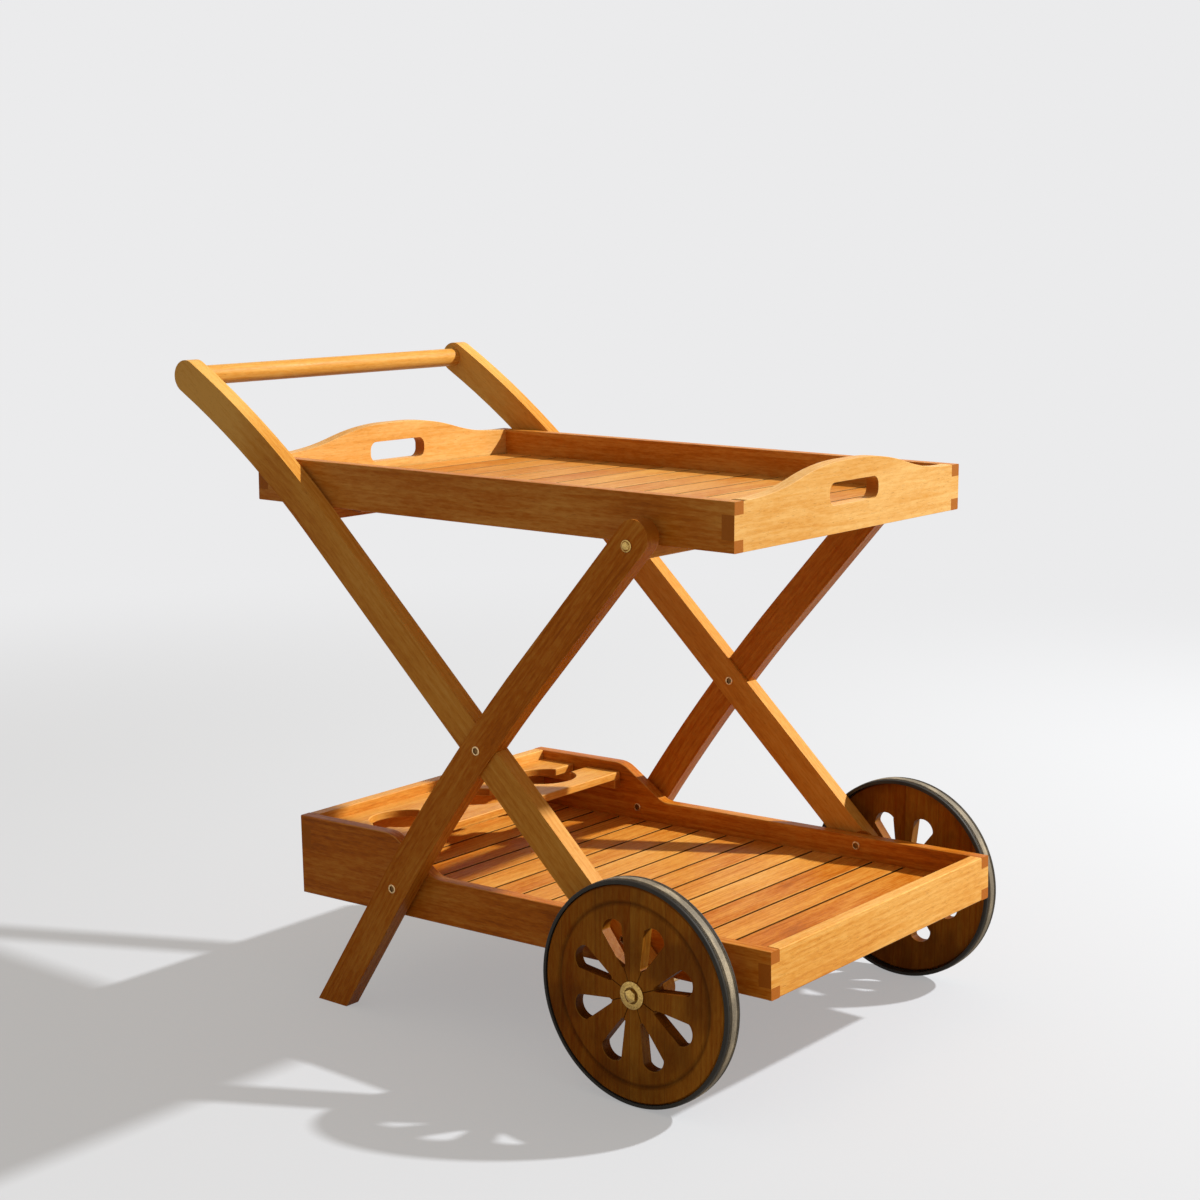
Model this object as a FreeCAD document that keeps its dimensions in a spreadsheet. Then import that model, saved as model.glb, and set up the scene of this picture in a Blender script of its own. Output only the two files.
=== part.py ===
import FreeCAD, Part
import math
import os

import Sketcher
from FreeCAD import Placement, Rotation, Vector

os.makedirs("parts", exist_ok=True)
doc = FreeCAD.newDocument("serving_cart")

# Driving sizes in millimetres and degrees. X runs along the cart with the handle at -X,
# Y runs across it with the right side at -Y, Z is up and the floor is z = 0.
SIZES = (
    # wheels and axle
    ("wheel_diameter", 250.0),
    ("wheel_thickness", 22.0),
    ("wheel_standoff", 7.0),
    ("wheel_edge", 2.5),
    ("wheel_web", 14.0),
    ("wheel_boss_diameter", 46.0),
    ("tyre_depth", 5.0),
    ("tyre_width", 23.0),
    ("tyre_shoulder", 2.0),
    ("tread_groove", 3.0),
    ("tread_depth", 1.2),
    ("tread_spacing", 8.0),
    ("ring_groove_share", 0.8),
    ("ring_groove_width", 7.0),
    ("ring_groove_depth", 2.0),
    ("petal_count", 8),
    ("petal_tip_share", 0.26),
    ("petal_corner_share", 0.6),
    ("petal_end_share", 0.67),
    ("petal_half_angle", 11.0),
    ("petal_tip_half_angle", 5.0),
    ("petal_tip_round_share", 1.15),
    ("joint_line_width", 1.2),
    ("joint_line_depth", 1.2),
    ("axle_x", 297.9),
    ("axle_diameter", 10.0),
    ("axle_thread", 8.0),
    ("axle_clearance", 1.9),
    ("bush_diameter", 22.0),
    ("bush_flange_diameter", 30.0),
    ("bush_flange", 2.0),
    ("spacer_ring_diameter", 22.0),
    ("hub_disc_diameter", 31.0),
    ("hub_disc_thickness", 2.0),
    ("hub_disc_edge", 0.8),
    ("nut_flats", 13.0),
    ("nut_height", 3.0),
    ("nut_dome_diameter", 12.0),
    ("nut_dome_height", 2.5),
    ("nut_bore_depth", 3.4),
    # crossed legs
    ("frame_width", 463.0),
    ("leg_width", 40.0),
    ("leg_thickness", 20.0),
    ("lap_depth", 8.2),
    ("handle_lean", 42.7),
    ("handle_straight", 677.0),
    ("handle_bend_radius", 1200.0),
    ("handle_bend", 13.0),
    ("bar_diameter", 24.0),
    ("foot_x", -182.2),
    ("foot_lean", 57.4),
    ("post_lean", 49.1),
    ("knee_level", 304.0),
    ("knee_run", 200.0),
    ("post_end", 11.5),
    # cross rails that carry the upper tray
    ("rail_width", 24.0),
    ("rail_height", 14.0),
    ("horn_height", 19.0),
    ("seat_clearance", 2.0),
    ("rail_bolt_rise", 1.0),
    ("tenon_width", 16.0),
    ("tenon_height", 8.0),
    # upper tray
    ("tray_x", 32.2),
    ("tray_level", 599.0),
    ("tray_length", 705.5),
    ("tray_clearance", 5.5),
    ("tray_side_height", 53.5),
    ("tray_board", 16.0),
    ("tray_crest", 79.0),
    ("crest_flat", 30.0),
    ("crest_run", 185.0),
    ("slot_length", 98.0),
    ("slot_height", 25.0),
    ("slot_round", 10.0),
    ("slot_level", 43.5),
    ("tray_floor", 21.5),
    ("tray_slat_thickness", 10.0),
    ("tray_slat_gap", 3.5),
    ("tray_slat_count", 15),
    ("tray_batten_width", 18.0),
    ("tray_batten_height", 10.0),
    ("stop_width", 14.0),
    ("stop_drop", 8.0),
    ("stop_gap", 0.5),
    # lower shelf
    ("shelf_x", 91.7),
    ("shelf_slope", 1.5),
    ("shelf_length", 696.0),
    ("shelf_clearance", 3.5),
    ("shelf_low", 52.5),
    ("shelf_tall", 97.5),
    ("shelf_board", 16.0),
    ("step_start", 154.0),
    ("step_run", 67.0),
    ("step_round", 40.0),
    ("step_fillet", 30.0),
    ("rear_finger_drop", 12.0),
    ("rear_finger_height", 28.0),
    ("finger_low_share", 0.25),
    ("finger_high_share", 0.74),
    ("shelf_floor", 24.5),
    ("shelf_slat_thickness", 12.0),
    ("shelf_slat_gap", 3.6),
    ("shelf_slat_count", 15),
    ("shelf_batten_width", 18.0),
    ("shelf_batten_height", 12.0),
    # bottle rack
    ("rack_drop", 12.0),
    ("rack_thickness", 10.0),
    ("rear_plank_width", 54.5),
    ("front_plank_width", 54.5),
    ("rack_gap", 26.0),
    ("bottle_diameter", 86.0),
    ("bottle_pitch", 133.0),
    ("bottle_count", 3),
    ("cleat_width", 12.0),
    ("cleat_height", 12.0),
    # bolts
    ("bolt_level", 40.5),
    ("axle_bolt_offset", 11.0),
    ("bolt_diameter", 6.0),
    ("bolt_head_diameter", 12.0),
    ("bolt_head_height", 1.6),
    ("bolt_head_edge", 0.4),
    ("bolt_socket_diameter", 5.0),
    ("bolt_socket_depth", 2.6),
    ("sleeve_diameter", 8.0),
    ("sleeve_length", 12.0),
    ("spacer_diameter", 30.0),
    ("rail_bolt_short", 2.0),
    ("rail_bolt_head", 14.0),
    ("rail_bolt_crown", 5.0),
    ("rail_bolt_edge", 1.2),
    # clearances
    ("fit_gap", 0.1),
    ("run_gap", 0.05),
    ("side_gap", 0.3),
    ("hole_gap", 0.2),
    ("slat_end_gap", 0.5),
)

# Places that follow from the driving sizes.
PLACES = (
    ("wheel_radius", "Dims.wheel_diameter / 2"),
    ("rim_radius", "Spots.wheel_radius - Dims.tyre_depth - Dims.fit_gap"),
    ("half_frame", "Dims.frame_width / 2"),
    ("leg_half", "Dims.leg_width / 2"),
    # the two legs of a side are let into each other where they cross
    ("handle_y", "Spots.half_frame + Dims.leg_thickness / 2"),
    ("handle_outer", "Spots.half_frame + Dims.leg_thickness"),
    ("foot_inner", "Spots.handle_outer - Dims.lap_depth * 2"),
    ("foot_y", "Spots.foot_inner + Dims.leg_thickness / 2"),
    ("foot_outer", "Spots.foot_inner + Dims.leg_thickness"),
    ("wheel_inner", "Spots.handle_outer + Dims.wheel_standoff"),
    ("wheel_y", "Spots.wheel_inner + Dims.wheel_thickness / 2"),
    ("axle_shoulder", "Spots.wheel_inner + Dims.wheel_thickness + Dims.side_gap"),
    ("nut_seat", "Spots.axle_shoulder + Dims.hub_disc_thickness"),
    # handle leg centre line: straight up from the axle, then an arc that eases over
    ("tip_lean", "Dims.handle_lean - Dims.handle_bend"),
    ("bend_x", "Dims.axle_x - cos(Dims.handle_lean) * Dims.handle_straight"),
    ("bend_z", "Spots.wheel_radius + sin(Dims.handle_lean) * Dims.handle_straight"),
    ("bend_cx", "Spots.bend_x - sin(Dims.handle_lean) * Dims.handle_bend_radius"),
    ("bend_cz", "Spots.bend_z - cos(Dims.handle_lean) * Dims.handle_bend_radius"),
    ("tip_x", "Spots.bend_cx + sin(Spots.tip_lean) * Dims.handle_bend_radius"),
    ("tip_z", "Spots.bend_cz + cos(Spots.tip_lean) * Dims.handle_bend_radius"),
    # foot leg centre line: straight up from the floor, a wide knee, then the post to the tray
    ("knee_x", "Dims.foot_x + Dims.knee_level / tan(Dims.foot_lean)"),
    ("knee_turn", "Dims.foot_lean - Dims.post_lean"),
    ("knee_radius", "Dims.knee_run / tan(Spots.knee_turn / 2)"),
    ("low_x", "Spots.knee_x - cos(Dims.foot_lean) * Dims.knee_run"),
    ("low_z", "Dims.knee_level - sin(Dims.foot_lean) * Dims.knee_run"),
    ("high_x", "Spots.knee_x + cos(Dims.post_lean) * Dims.knee_run"),
    ("high_z", "Dims.knee_level + sin(Dims.post_lean) * Dims.knee_run"),
    ("knee_cx", "Spots.low_x + sin(Dims.foot_lean) * Spots.knee_radius"),
    ("knee_cz", "Spots.low_z - cos(Dims.foot_lean) * Spots.knee_radius"),
    ("rail_bolt_z", "Dims.tray_level + Dims.rail_bolt_rise"),
    ("rail_bolt_x", "Spots.knee_x + (Spots.rail_bolt_z - Dims.knee_level) / tan(Dims.post_lean)"),
    ("post_x", "Spots.rail_bolt_x + cos(Dims.post_lean) * Dims.post_end"),
    ("post_z", "Spots.rail_bolt_z + sin(Dims.post_lean) * Dims.post_end"),
    # crossing of the two centre lines
    ("cross_a", "(Spots.knee_cx - Dims.axle_x) * cos(Dims.handle_lean)"),
    ("cross_b", "(Spots.wheel_radius - Spots.knee_cz) * sin(Dims.handle_lean)"),
    ("cross_dot", "Spots.cross_a + Spots.cross_b"),
    ("cross_far", "(Dims.axle_x - Spots.knee_cx)^2 + (Spots.wheel_radius - Spots.knee_cz)^2"),
    ("cross_root", "sqrt(Spots.cross_dot^2 - Spots.cross_far + Spots.knee_radius^2)"),
    ("cross_run", "Spots.cross_root - Spots.cross_dot"),
    ("cross_x", "Dims.axle_x - cos(Dims.handle_lean) * Spots.cross_run"),
    ("cross_z", "Spots.wheel_radius + sin(Dims.handle_lean) * Spots.cross_run"),
    # underside of the lower shelf at its middle, just clear of the axle
    ("shelf_climb", "(Dims.axle_x - Dims.shelf_x) * tan(Dims.shelf_slope)"),
    ("axle_top", "Spots.wheel_radius + Dims.axle_diameter / 2"),
    ("shelf_level", "Spots.axle_top + Dims.axle_clearance - Spots.shelf_climb"),
    # shelf bolts, first along the shelf from its middle, then in the cart
    ("line_x", "Dims.shelf_x - Dims.bolt_level * sin(Dims.shelf_slope)"),
    ("line_z", "Spots.shelf_level + Dims.bolt_level * cos(Dims.shelf_slope)"),
    ("foot_cot", "1 / tan(Dims.foot_lean)"),
    ("foot_bolt_top", "Dims.foot_x - Spots.line_x + Spots.line_z * Spots.foot_cot"),
    ("foot_bolt_low", "cos(Dims.shelf_slope) - sin(Dims.shelf_slope) * Spots.foot_cot"),
    ("foot_bolt_run", "Spots.foot_bolt_top / Spots.foot_bolt_low"),
    ("foot_bolt_x", "Spots.line_x + Spots.foot_bolt_run * cos(Dims.shelf_slope)"),
    ("foot_bolt_z", "Spots.line_z + Spots.foot_bolt_run * sin(Dims.shelf_slope)"),
    ("axle_bolt_a", "(Spots.line_x - Dims.axle_x) * sin(Dims.handle_lean)"),
    ("axle_bolt_b", "(Spots.line_z - Spots.wheel_radius) * cos(Dims.handle_lean)"),
    ("axle_bolt_top", "Dims.axle_bolt_offset - Spots.axle_bolt_a - Spots.axle_bolt_b"),
    ("axle_bolt_run", "Spots.axle_bolt_top / sin(Dims.handle_lean + Dims.shelf_slope)"),
    ("axle_bolt_x", "Spots.line_x + Spots.axle_bolt_run * cos(Dims.shelf_slope)"),
    ("axle_bolt_z", "Spots.line_z + Spots.axle_bolt_run * sin(Dims.shelf_slope)"),
    ("bolt_hole", "Dims.sleeve_diameter + Dims.hole_gap * 2"),
    ("rail_bolt_hole", "Dims.bolt_diameter + Dims.hole_gap * 2"),
    # rails
    ("rear_rail_rise", "Dims.tray_level - Dims.rail_height / 2 - Spots.wheel_radius"),
    ("rear_rail_x", "Dims.axle_x - Spots.rear_rail_rise / tan(Dims.handle_lean)"),
    ("rail_under", "Dims.tray_level - Dims.rail_height"),
    # upper tray, about the middle of its underside
    ("tray_half", "Spots.half_frame - Dims.tray_clearance"),
    ("tray_inner", "Spots.tray_half - Dims.tray_board"),
    ("tray_end", "Dims.tray_length / 2"),
    ("tray_bay", "Spots.tray_end - Dims.tray_board"),
    ("tray_low", "Dims.tray_side_height * Dims.finger_low_share"),
    ("tray_high", "Dims.tray_side_height * Dims.finger_high_share"),
    ("crest_rise", "Dims.tray_crest - Dims.tray_side_height"),
    ("crest_radius", "(Dims.crest_run^2 + Spots.crest_rise^2) / (4 * Spots.crest_rise)"),
    ("crest_mid_y", "(Dims.crest_flat + Dims.crest_run) / 2"),
    ("crest_mid_z", "(Dims.tray_crest + Dims.tray_side_height) / 2"),
    ("crest_out", "Dims.crest_flat / 2 + Dims.crest_run"),
    ("tray_gaps", "Dims.tray_slat_gap * (Dims.tray_slat_count + 1)"),
    ("tray_slat", "(Spots.tray_bay * 2 - Spots.tray_gaps) / Dims.tray_slat_count"),
    ("tray_slat_z", "Dims.tray_floor - Dims.tray_slat_thickness"),
    # seat of the tray between the raised ends of the front rail
    ("rail_seat", "Spots.tray_half + Dims.seat_clearance"),
    ("rail_bolt_depth", "Spots.foot_inner - Spots.rail_seat - Dims.rail_bolt_short"),
    # lower shelf, about the middle of its underside
    ("shelf_half", "Spots.half_frame - Dims.shelf_clearance"),
    ("shelf_inner", "Spots.shelf_half - Dims.shelf_board"),
    ("shelf_end", "Dims.shelf_length / 2"),
    ("shelf_bay", "Spots.shelf_end - Dims.shelf_board"),
    ("front_low", "Dims.shelf_low * Dims.finger_low_share"),
    ("front_high", "Dims.shelf_low * Dims.finger_high_share"),
    ("rear_high", "Dims.shelf_tall - Dims.rear_finger_drop"),
    ("rear_low", "Spots.rear_high - Dims.rear_finger_height"),
    ("step_x", "Dims.step_start - Spots.shelf_end"),
    ("step_foot", "Spots.step_x + Dims.step_run"),
    ("step_fall", "atan((Dims.shelf_tall - Dims.shelf_low) / Dims.step_run)"),
    ("step_ease", "Dims.step_round * tan(Spots.step_fall / 2)"),
    ("foot_ease", "Dims.step_fillet * tan(Spots.step_fall / 2)"),
    ("shelf_gaps", "Dims.shelf_slat_gap * (Dims.shelf_slat_count + 1)"),
    ("shelf_slat", "(Spots.shelf_bay * 2 - Spots.shelf_gaps) / Dims.shelf_slat_count"),
    ("shelf_slat_z", "Dims.shelf_floor - Dims.shelf_slat_thickness"),
    # bottle rack, in the shelf's own frame
    ("rack_z", "Dims.shelf_tall - Dims.rack_drop - Dims.rack_thickness"),
    ("rack_front", "Dims.rear_plank_width + Dims.rack_gap - Spots.shelf_bay"),
    ("rack_middle", "Dims.rear_plank_width + Dims.rack_gap / 2 - Spots.shelf_bay"),
    ("rack_depth", "Dims.rear_plank_width + Dims.rack_gap + Dims.front_plank_width"),
    # wheel cut-outs
    ("ring_groove", "Spots.wheel_radius * Dims.ring_groove_share"),
    ("petal_tip", "Spots.wheel_radius * Dims.petal_tip_share"),
    ("petal_tip_chord", "Spots.petal_tip * sin(Dims.petal_tip_half_angle)"),
    ("petal_tip_arc", "Spots.petal_tip_chord * Dims.petal_tip_round_share"),
    ("petal_corner", "Spots.wheel_radius * Dims.petal_corner_share"),
    ("petal_end", "Spots.wheel_radius * Dims.petal_end_share"),
    ("petal_turn", "180 / Dims.petal_count"),
    ("petal_chord", "Spots.petal_corner * sin(Dims.petal_half_angle)"),
    ("petal_sag", "Spots.petal_end - Spots.petal_corner * cos(Dims.petal_half_angle)"),
    ("petal_arc", "(Spots.petal_chord^2 + Spots.petal_sag^2) / (2 * Spots.petal_sag)"),
    ("rail_crown_rise", "Dims.rail_bolt_crown - Dims.rail_bolt_edge"),
    ("rail_crown_a", "(Dims.rail_bolt_head / 2)^2 + Spots.rail_crown_rise^2"),
    ("rail_crown", "Spots.rail_crown_a / (2 * Spots.rail_crown_rise)"),
    ("nut_corner", "Dims.nut_flats / sqrt(3)"),
    ("nut_dome_a", "(Dims.nut_dome_diameter / 2)^2 + Dims.nut_dome_height^2"),
    ("nut_dome", "Spots.nut_dome_a / (2 * Dims.nut_dome_height)"),
    ("nut_top", "Dims.nut_height + Dims.nut_dome_height"),
)


def fill(sheet, rows, prefix):
    for row, (alias, entry) in enumerate(rows, 1):
        sheet.set("A%d" % row, alias)
        sheet.set("B%d" % row, prefix + str(entry))
        sheet.setAlias("B%d" % row, alias)


dims = doc.addObject("Spreadsheet::Sheet", "Dims")
fill(dims, SIZES, "")
doc.recompute()
spots = doc.addObject("Spreadsheet::Sheet", "Spots")
fill(spots, [(alias, entry.replace("Spots.", "")) for alias, entry in PLACES], "=")
doc.recompute()

SIDES = (("right", -1), ("left", 1))
HEX = 6
nodes = {}


def size(expression):
    """Value of an expression over the two sheets."""
    result = dims.evalExpression(expression)
    return float(getattr(result, "Value", result))


def out(sign, expression):
    """Expression measured outward on one side of the cart."""
    return expression if sign > 0 else "-(%s)" % expression


def bind(obj, **sizes):
    for name, expression in sizes.items():
        obj.setExpression(name, expression)


def place(obj, x, y, z):
    """Binds the position of an object."""
    for axis, expression in zip("xyz", (x, y, z)):
        obj.setExpression("Placement.Base." + axis, expression)


def tilt(obj):
    """Turns an object with the slope of the lower shelf."""
    obj.Placement = Placement(Vector(), Rotation(Vector(0, -1, 0), size("Dims.shelf_slope")))
    obj.setExpression("Placement.Rotation.Angle", "Dims.shelf_slope")


def on_shelf(obj, y="0"):
    """Seats an object modelled in the shelf's own frame."""
    tilt(obj)
    place(obj, "Dims.shelf_x", y, "Spots.shelf_level")


def in_shelf(obj, x, y, z):
    """Seats a primitive whose corner lies at x, y, z of the shelf's own frame."""
    tilt(obj)
    slope = "Dims.shelf_slope"
    place(
        obj,
        "Dims.shelf_x + (%s) * cos(%s) - (%s) * sin(%s)" % (x, slope, z, slope),
        y,
        "Spots.shelf_level + (%s) * sin(%s) + (%s) * cos(%s)" % (x, slope, z, slope),
    )


def plane_of(body, role):
    return next(item for item in body.Origin.OriginFeatures if item.Role == role)


def sketch_on(body, name, role):
    sketch = body.newObject("Sketcher::SketchObject", name)
    sketch.AttachmentSupport = [(plane_of(body, role), "")]
    sketch.MapMode = "FlatFace"
    return sketch


def dimension(sketch, kind, where, value, expression):
    index = sketch.addConstraint(Sketcher.Constraint(kind, *where, value))
    name = "%s_%d" % (kind.lower(), index)
    sketch.renameConstraint(index, name)
    sketch.setExpression("Constraints." + name, expression)


def pin(sketch, item, end, corner):
    for kind, expression in zip(("DistanceX", "DistanceY"), corner):
        dimension(sketch, kind, (item, end), size(expression), expression)


def line(x, y):
    return (None, 0, (x, y))


def arc(radius, turn, x, y):
    """Arc to a corner; turn is 1 for counter-clockwise and -1 for clockwise."""
    return (radius, turn, (x, y))


def arc_between(start, end, radius, turn):
    chord = end - start
    half = chord.Length / 2
    rise = math.sqrt(max(radius * radius - half * half, 0))
    normal = Vector(-chord.y, chord.x, 0).normalize()
    centre = (start + end) / 2 + normal * rise * turn
    first, last = (start, end) if turn > 0 else (end, start)
    angles = [math.atan2(point.y - centre.y, point.x - centre.x) for point in (first, last)]
    if angles[1] < angles[0]:
        angles[1] += 2 * math.pi
    return Part.ArcOfCircle(Part.Circle(centre, Vector(0, 0, 1), radius), *angles)


def outline(sketch, start, moves):
    """Closed outline with every corner pinned and every radius bound."""
    corners = [start] + [move[2] for move in moves]
    points = [Vector(size(x), size(y), 0) for x, y in corners]
    steps = list(moves) + [line(*start)]
    items = []
    for index, (radius, turn, _) in enumerate(steps):
        begin = points[index]
        end = points[(index + 1) % len(points)]
        if radius is None:
            item = sketch.addGeometry(Part.LineSegment(begin, end))
        else:
            item = sketch.addGeometry(arc_between(begin, end, size(radius), turn))
        items.append((item, 1, 2) if turn >= 0 else (item, 2, 1))
    for index, (item, _, tail) in enumerate(items):
        after, head, _ = items[(index + 1) % len(items)]
        sketch.addConstraint(Sketcher.Constraint("Coincident", item, tail, after, head))
    for (item, head, _), corner in zip(items, corners):
        pin(sketch, item, head, corner)
    for (item, _, _), (radius, _, _) in zip(items, steps):
        if radius is not None:
            dimension(sketch, "Radius", (item,), size(radius), radius)


def circle(sketch, x, y, diameter):
    centre = Vector(size(x), size(y), 0)
    item = sketch.addGeometry(Part.Circle(centre, Vector(0, 0, 1), size(diameter) / 2))
    pin(sketch, item, 3, (x, y))
    dimension(sketch, "Diameter", (item,), size(diameter), diameter)


def plank(label, role, thickness, start, moves, holes=(), windows=()):
    """Board sawn to an outline, with through holes and windows."""
    body = doc.addObject("PartDesign::Body", label)
    sketch = sketch_on(body, label + "_outline", role)
    outline(sketch, start, moves)
    for hole in holes:
        circle(sketch, *hole)
    for window in windows:
        outline(sketch, *window)
    pad = body.newObject("PartDesign::Pad", label + "_pad")
    pad.Profile = sketch
    pad.SideType = "Symmetric"
    bind(pad, Length=thickness)
    return body


def turned(label, start, moves):
    """Piece turned about the Y axis from a profile of radius and place along the axis."""
    body = doc.addObject("PartDesign::Body", label)
    sketch = sketch_on(body, label + "_profile", "XY_Plane")
    outline(sketch, start, moves)
    lathe = body.newObject("PartDesign::Revolution", label + "_turning")
    lathe.Profile = sketch
    lathe.ReferenceAxis = (sketch, ["V_Axis"])
    return body


def block(name, length, width, height, corner=None):
    box = doc.addObject("Part::Box", name)
    bind(box, Length=length, Width=width, Height=height)
    if corner:
        place(box, *corner)
    return box


def gather(label, pieces):
    """Identical pieces kept together as separate solids."""
    group = doc.addObject("Part::Compound", label)
    group.Links = pieces
    nodes[label] = group
    return group


def blind_pocket(body, sketch, name, sign):
    """Pocket from a sketch inside a leg out through the leg's inner face, or its outer face for -sign."""
    pocket = body.newObject("PartDesign::Pocket", name)
    pocket.Profile = sketch
    pocket.Type = "ThroughAll"
    pocket.Reversed = sign > 0
    return pocket


def along(lean, x, z, side, ahead):
    """Corner beside and ahead of a point on a handle leg's centre line."""
    return (
        "%s + sin(%s) * (%s) - cos(%s) * (%s)" % (x, lean, side, lean, ahead),
        "%s + cos(%s) * (%s) + sin(%s) * (%s)" % (z, lean, side, lean, ahead),
    )


def beside(lean, x, z, side, ahead):
    """Corner beside and ahead of a point on a foot leg's centre line."""
    return (
        "%s + sin(%s) * (%s) + cos(%s) * (%s)" % (x, lean, side, lean, ahead),
        "%s - cos(%s) * (%s) + sin(%s) * (%s)" % (z, lean, side, lean, ahead),
    )


# Crossed legs: centre lines, outlines and the notches that let one leg into the other.
HALF = "Spots.leg_half"
LOOSE_HALF = "(Spots.leg_half + Dims.fit_gap)"
LEAN = "Dims.handle_lean"
FOOT = "Dims.foot_lean"
POST = "Dims.post_lean"
AXLE = ("Dims.axle_x", "Spots.wheel_radius")
BEND = ("Spots.bend_x", "Spots.bend_z")
TIP = ("Spots.tip_x", "Spots.tip_z")
LOW = ("Spots.low_x", "Spots.low_z")
HIGH = ("Spots.high_x", "Spots.high_z")
TOP = ("Spots.post_x", "Spots.post_z")


def handle_outline(half):
    """Start and moves round a handle leg, from the axle to the handle bar and back."""
    minus = "-" + half
    return (
        along(LEAN, *AXLE, minus, "0"),
        (
            arc(half, 1, *along(LEAN, *AXLE, "0", minus)),
            arc(half, 1, *along(LEAN, *AXLE, half, "0")),
            line(*along(LEAN, *BEND, half, "0")),
            arc("Dims.handle_bend_radius + " + half, 1, *along("Spots.tip_lean", *TIP, half, "0")),
            arc(half, 1, *along("Spots.tip_lean", *TIP, "0", half)),
            arc(half, 1, *along("Spots.tip_lean", *TIP, minus, "0")),
            arc("Dims.handle_bend_radius - " + half, -1, *along(LEAN, *BEND, minus, "0")),
        ),
    )


def foot_outline(half):
    """Start and moves round a foot leg, cut flat on the floor and rounded over the rail bolt."""
    minus = "-" + half
    sole = half + " / sin(Dims.foot_lean)"
    return (
        ("Dims.foot_x - " + sole, "0"),
        (
            line("Dims.foot_x + " + sole, "0"),
            line(*beside(FOOT, *LOW, half, "0")),
            arc("Spots.knee_radius - " + half, -1, *beside(POST, *HIGH, half, "0")),
            line(*beside(POST, *TOP, half, "0")),
            arc(half, 1, *beside(POST, *TOP, "0", half)),
            arc(half, 1, *beside(POST, *TOP, minus, "0")),
            line(*beside(POST, *HIGH, minus, "0")),
            arc("Spots.knee_radius + " + half, 1, *beside(FOOT, *LOW, minus, "0")),
        ),
    )


def halving(leg, name, sign, around):
    """Notch as deep as the lap, round the leg that crosses."""
    notch = sketch_on(leg, name + "_outline", "XZ_Plane")
    notch.setExpression("AttachmentOffset.Base.z", out(sign, "Dims.leg_thickness / 2 - Dims.lap_depth"))
    outline(notch, *around)
    blind_pocket(leg, notch, name, sign)


# Handle legs: one sawn board each, from the axle to the handle bar.
RAIL_MID = "Dims.tray_level - Dims.rail_height / 2"
for side, sign in SIDES:
    label = side + "_handle_leg"
    leg = plank(
        label,
        "XZ_Plane",
        "Dims.leg_thickness",
        *handle_outline(HALF),
        holes=(
            (*AXLE, "Dims.axle_diameter + Dims.fit_gap * 2"),
            ("Spots.cross_x", "Spots.cross_z", "Spots.bolt_hole"),
            ("Spots.axle_bolt_x", "Spots.axle_bolt_z", "Spots.bolt_hole"),
        ),
    )
    halving(leg, label + "_lap", -sign, foot_outline(LOOSE_HALF))
    bore = sketch_on(leg, label + "_bar_seat", "XZ_Plane")
    circle(bore, *TIP, "Dims.bar_diameter + Dims.fit_gap * 2")
    blind_pocket(leg, bore, label + "_bar_pocket", sign)
    mortise = sketch_on(leg, label + "_rail_seat", "XZ_Plane")
    reach = "(Dims.tenon_width / 2 + Dims.fit_gap)"
    rise = "(Dims.tenon_height / 2 + Dims.fit_gap)"
    left = "Spots.rear_rail_x - " + reach
    right = "Spots.rear_rail_x + " + reach
    under = RAIL_MID + " - " + rise
    over = RAIL_MID + " + " + rise
    outline(mortise, (left, under), (line(right, under), line(right, over), line(left, over)))
    blind_pocket(leg, mortise, label + "_rail_pocket", sign)
    place(leg, "0", out(sign, "Spots.handle_y"), "0")
    nodes[label] = leg

# Foot legs: eased through a wide knee, let into the handle legs where they cross.
for side, sign in SIDES:
    label = side + "_foot_leg"
    leg = plank(
        label,
        "XZ_Plane",
        "Dims.leg_thickness",
        *foot_outline(HALF),
        holes=(
            ("Spots.cross_x", "Spots.cross_z", "Spots.bolt_hole"),
            ("Spots.foot_bolt_x", "Spots.foot_bolt_z", "Spots.bolt_hole"),
            ("Spots.rail_bolt_x", "Spots.rail_bolt_z", "Spots.rail_bolt_hole"),
        ),
    )
    halving(leg, label + "_lap", sign, handle_outline(LOOSE_HALF))
    place(leg, "0", out(sign, "Spots.foot_y"), "0")
    nodes[label] = leg

# Handle bar and cross rails.
TENON_END = "(Spots.handle_y - Dims.side_gap)"
bar = turned(
    "handle_bar",
    ("0", "-" + TENON_END),
    (
        line("Dims.bar_diameter / 2", "-" + TENON_END),
        line("Dims.bar_diameter / 2", TENON_END),
        line("0", TENON_END),
    ),
)
place(bar, "Spots.tip_x", "0", "Spots.tip_z")
nodes["handle_bar"] = bar

rear_bar = block(
    "rear_cross_rail_bar",
    "Dims.rail_width",
    "Dims.frame_width",
    "Dims.rail_height",
    ("Spots.rear_rail_x - Dims.rail_width / 2", "-Spots.half_frame", "Spots.rail_under"),
)
rear_tenon = block(
    "rear_cross_rail_tenon",
    "Dims.tenon_width",
    TENON_END + " * 2",
    "Dims.tenon_height",
    (
        "Spots.rear_rail_x - Dims.tenon_width / 2",
        "-" + TENON_END,
        RAIL_MID + " - Dims.tenon_height / 2",
    ),
)
rear_rail = doc.addObject("Part::Fuse", "rear_cross_rail")
rear_rail.Base = rear_bar
rear_rail.Tool = rear_tenon
rear_rail.Refine = True
nodes["rear_cross_rail"] = rear_rail

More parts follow.
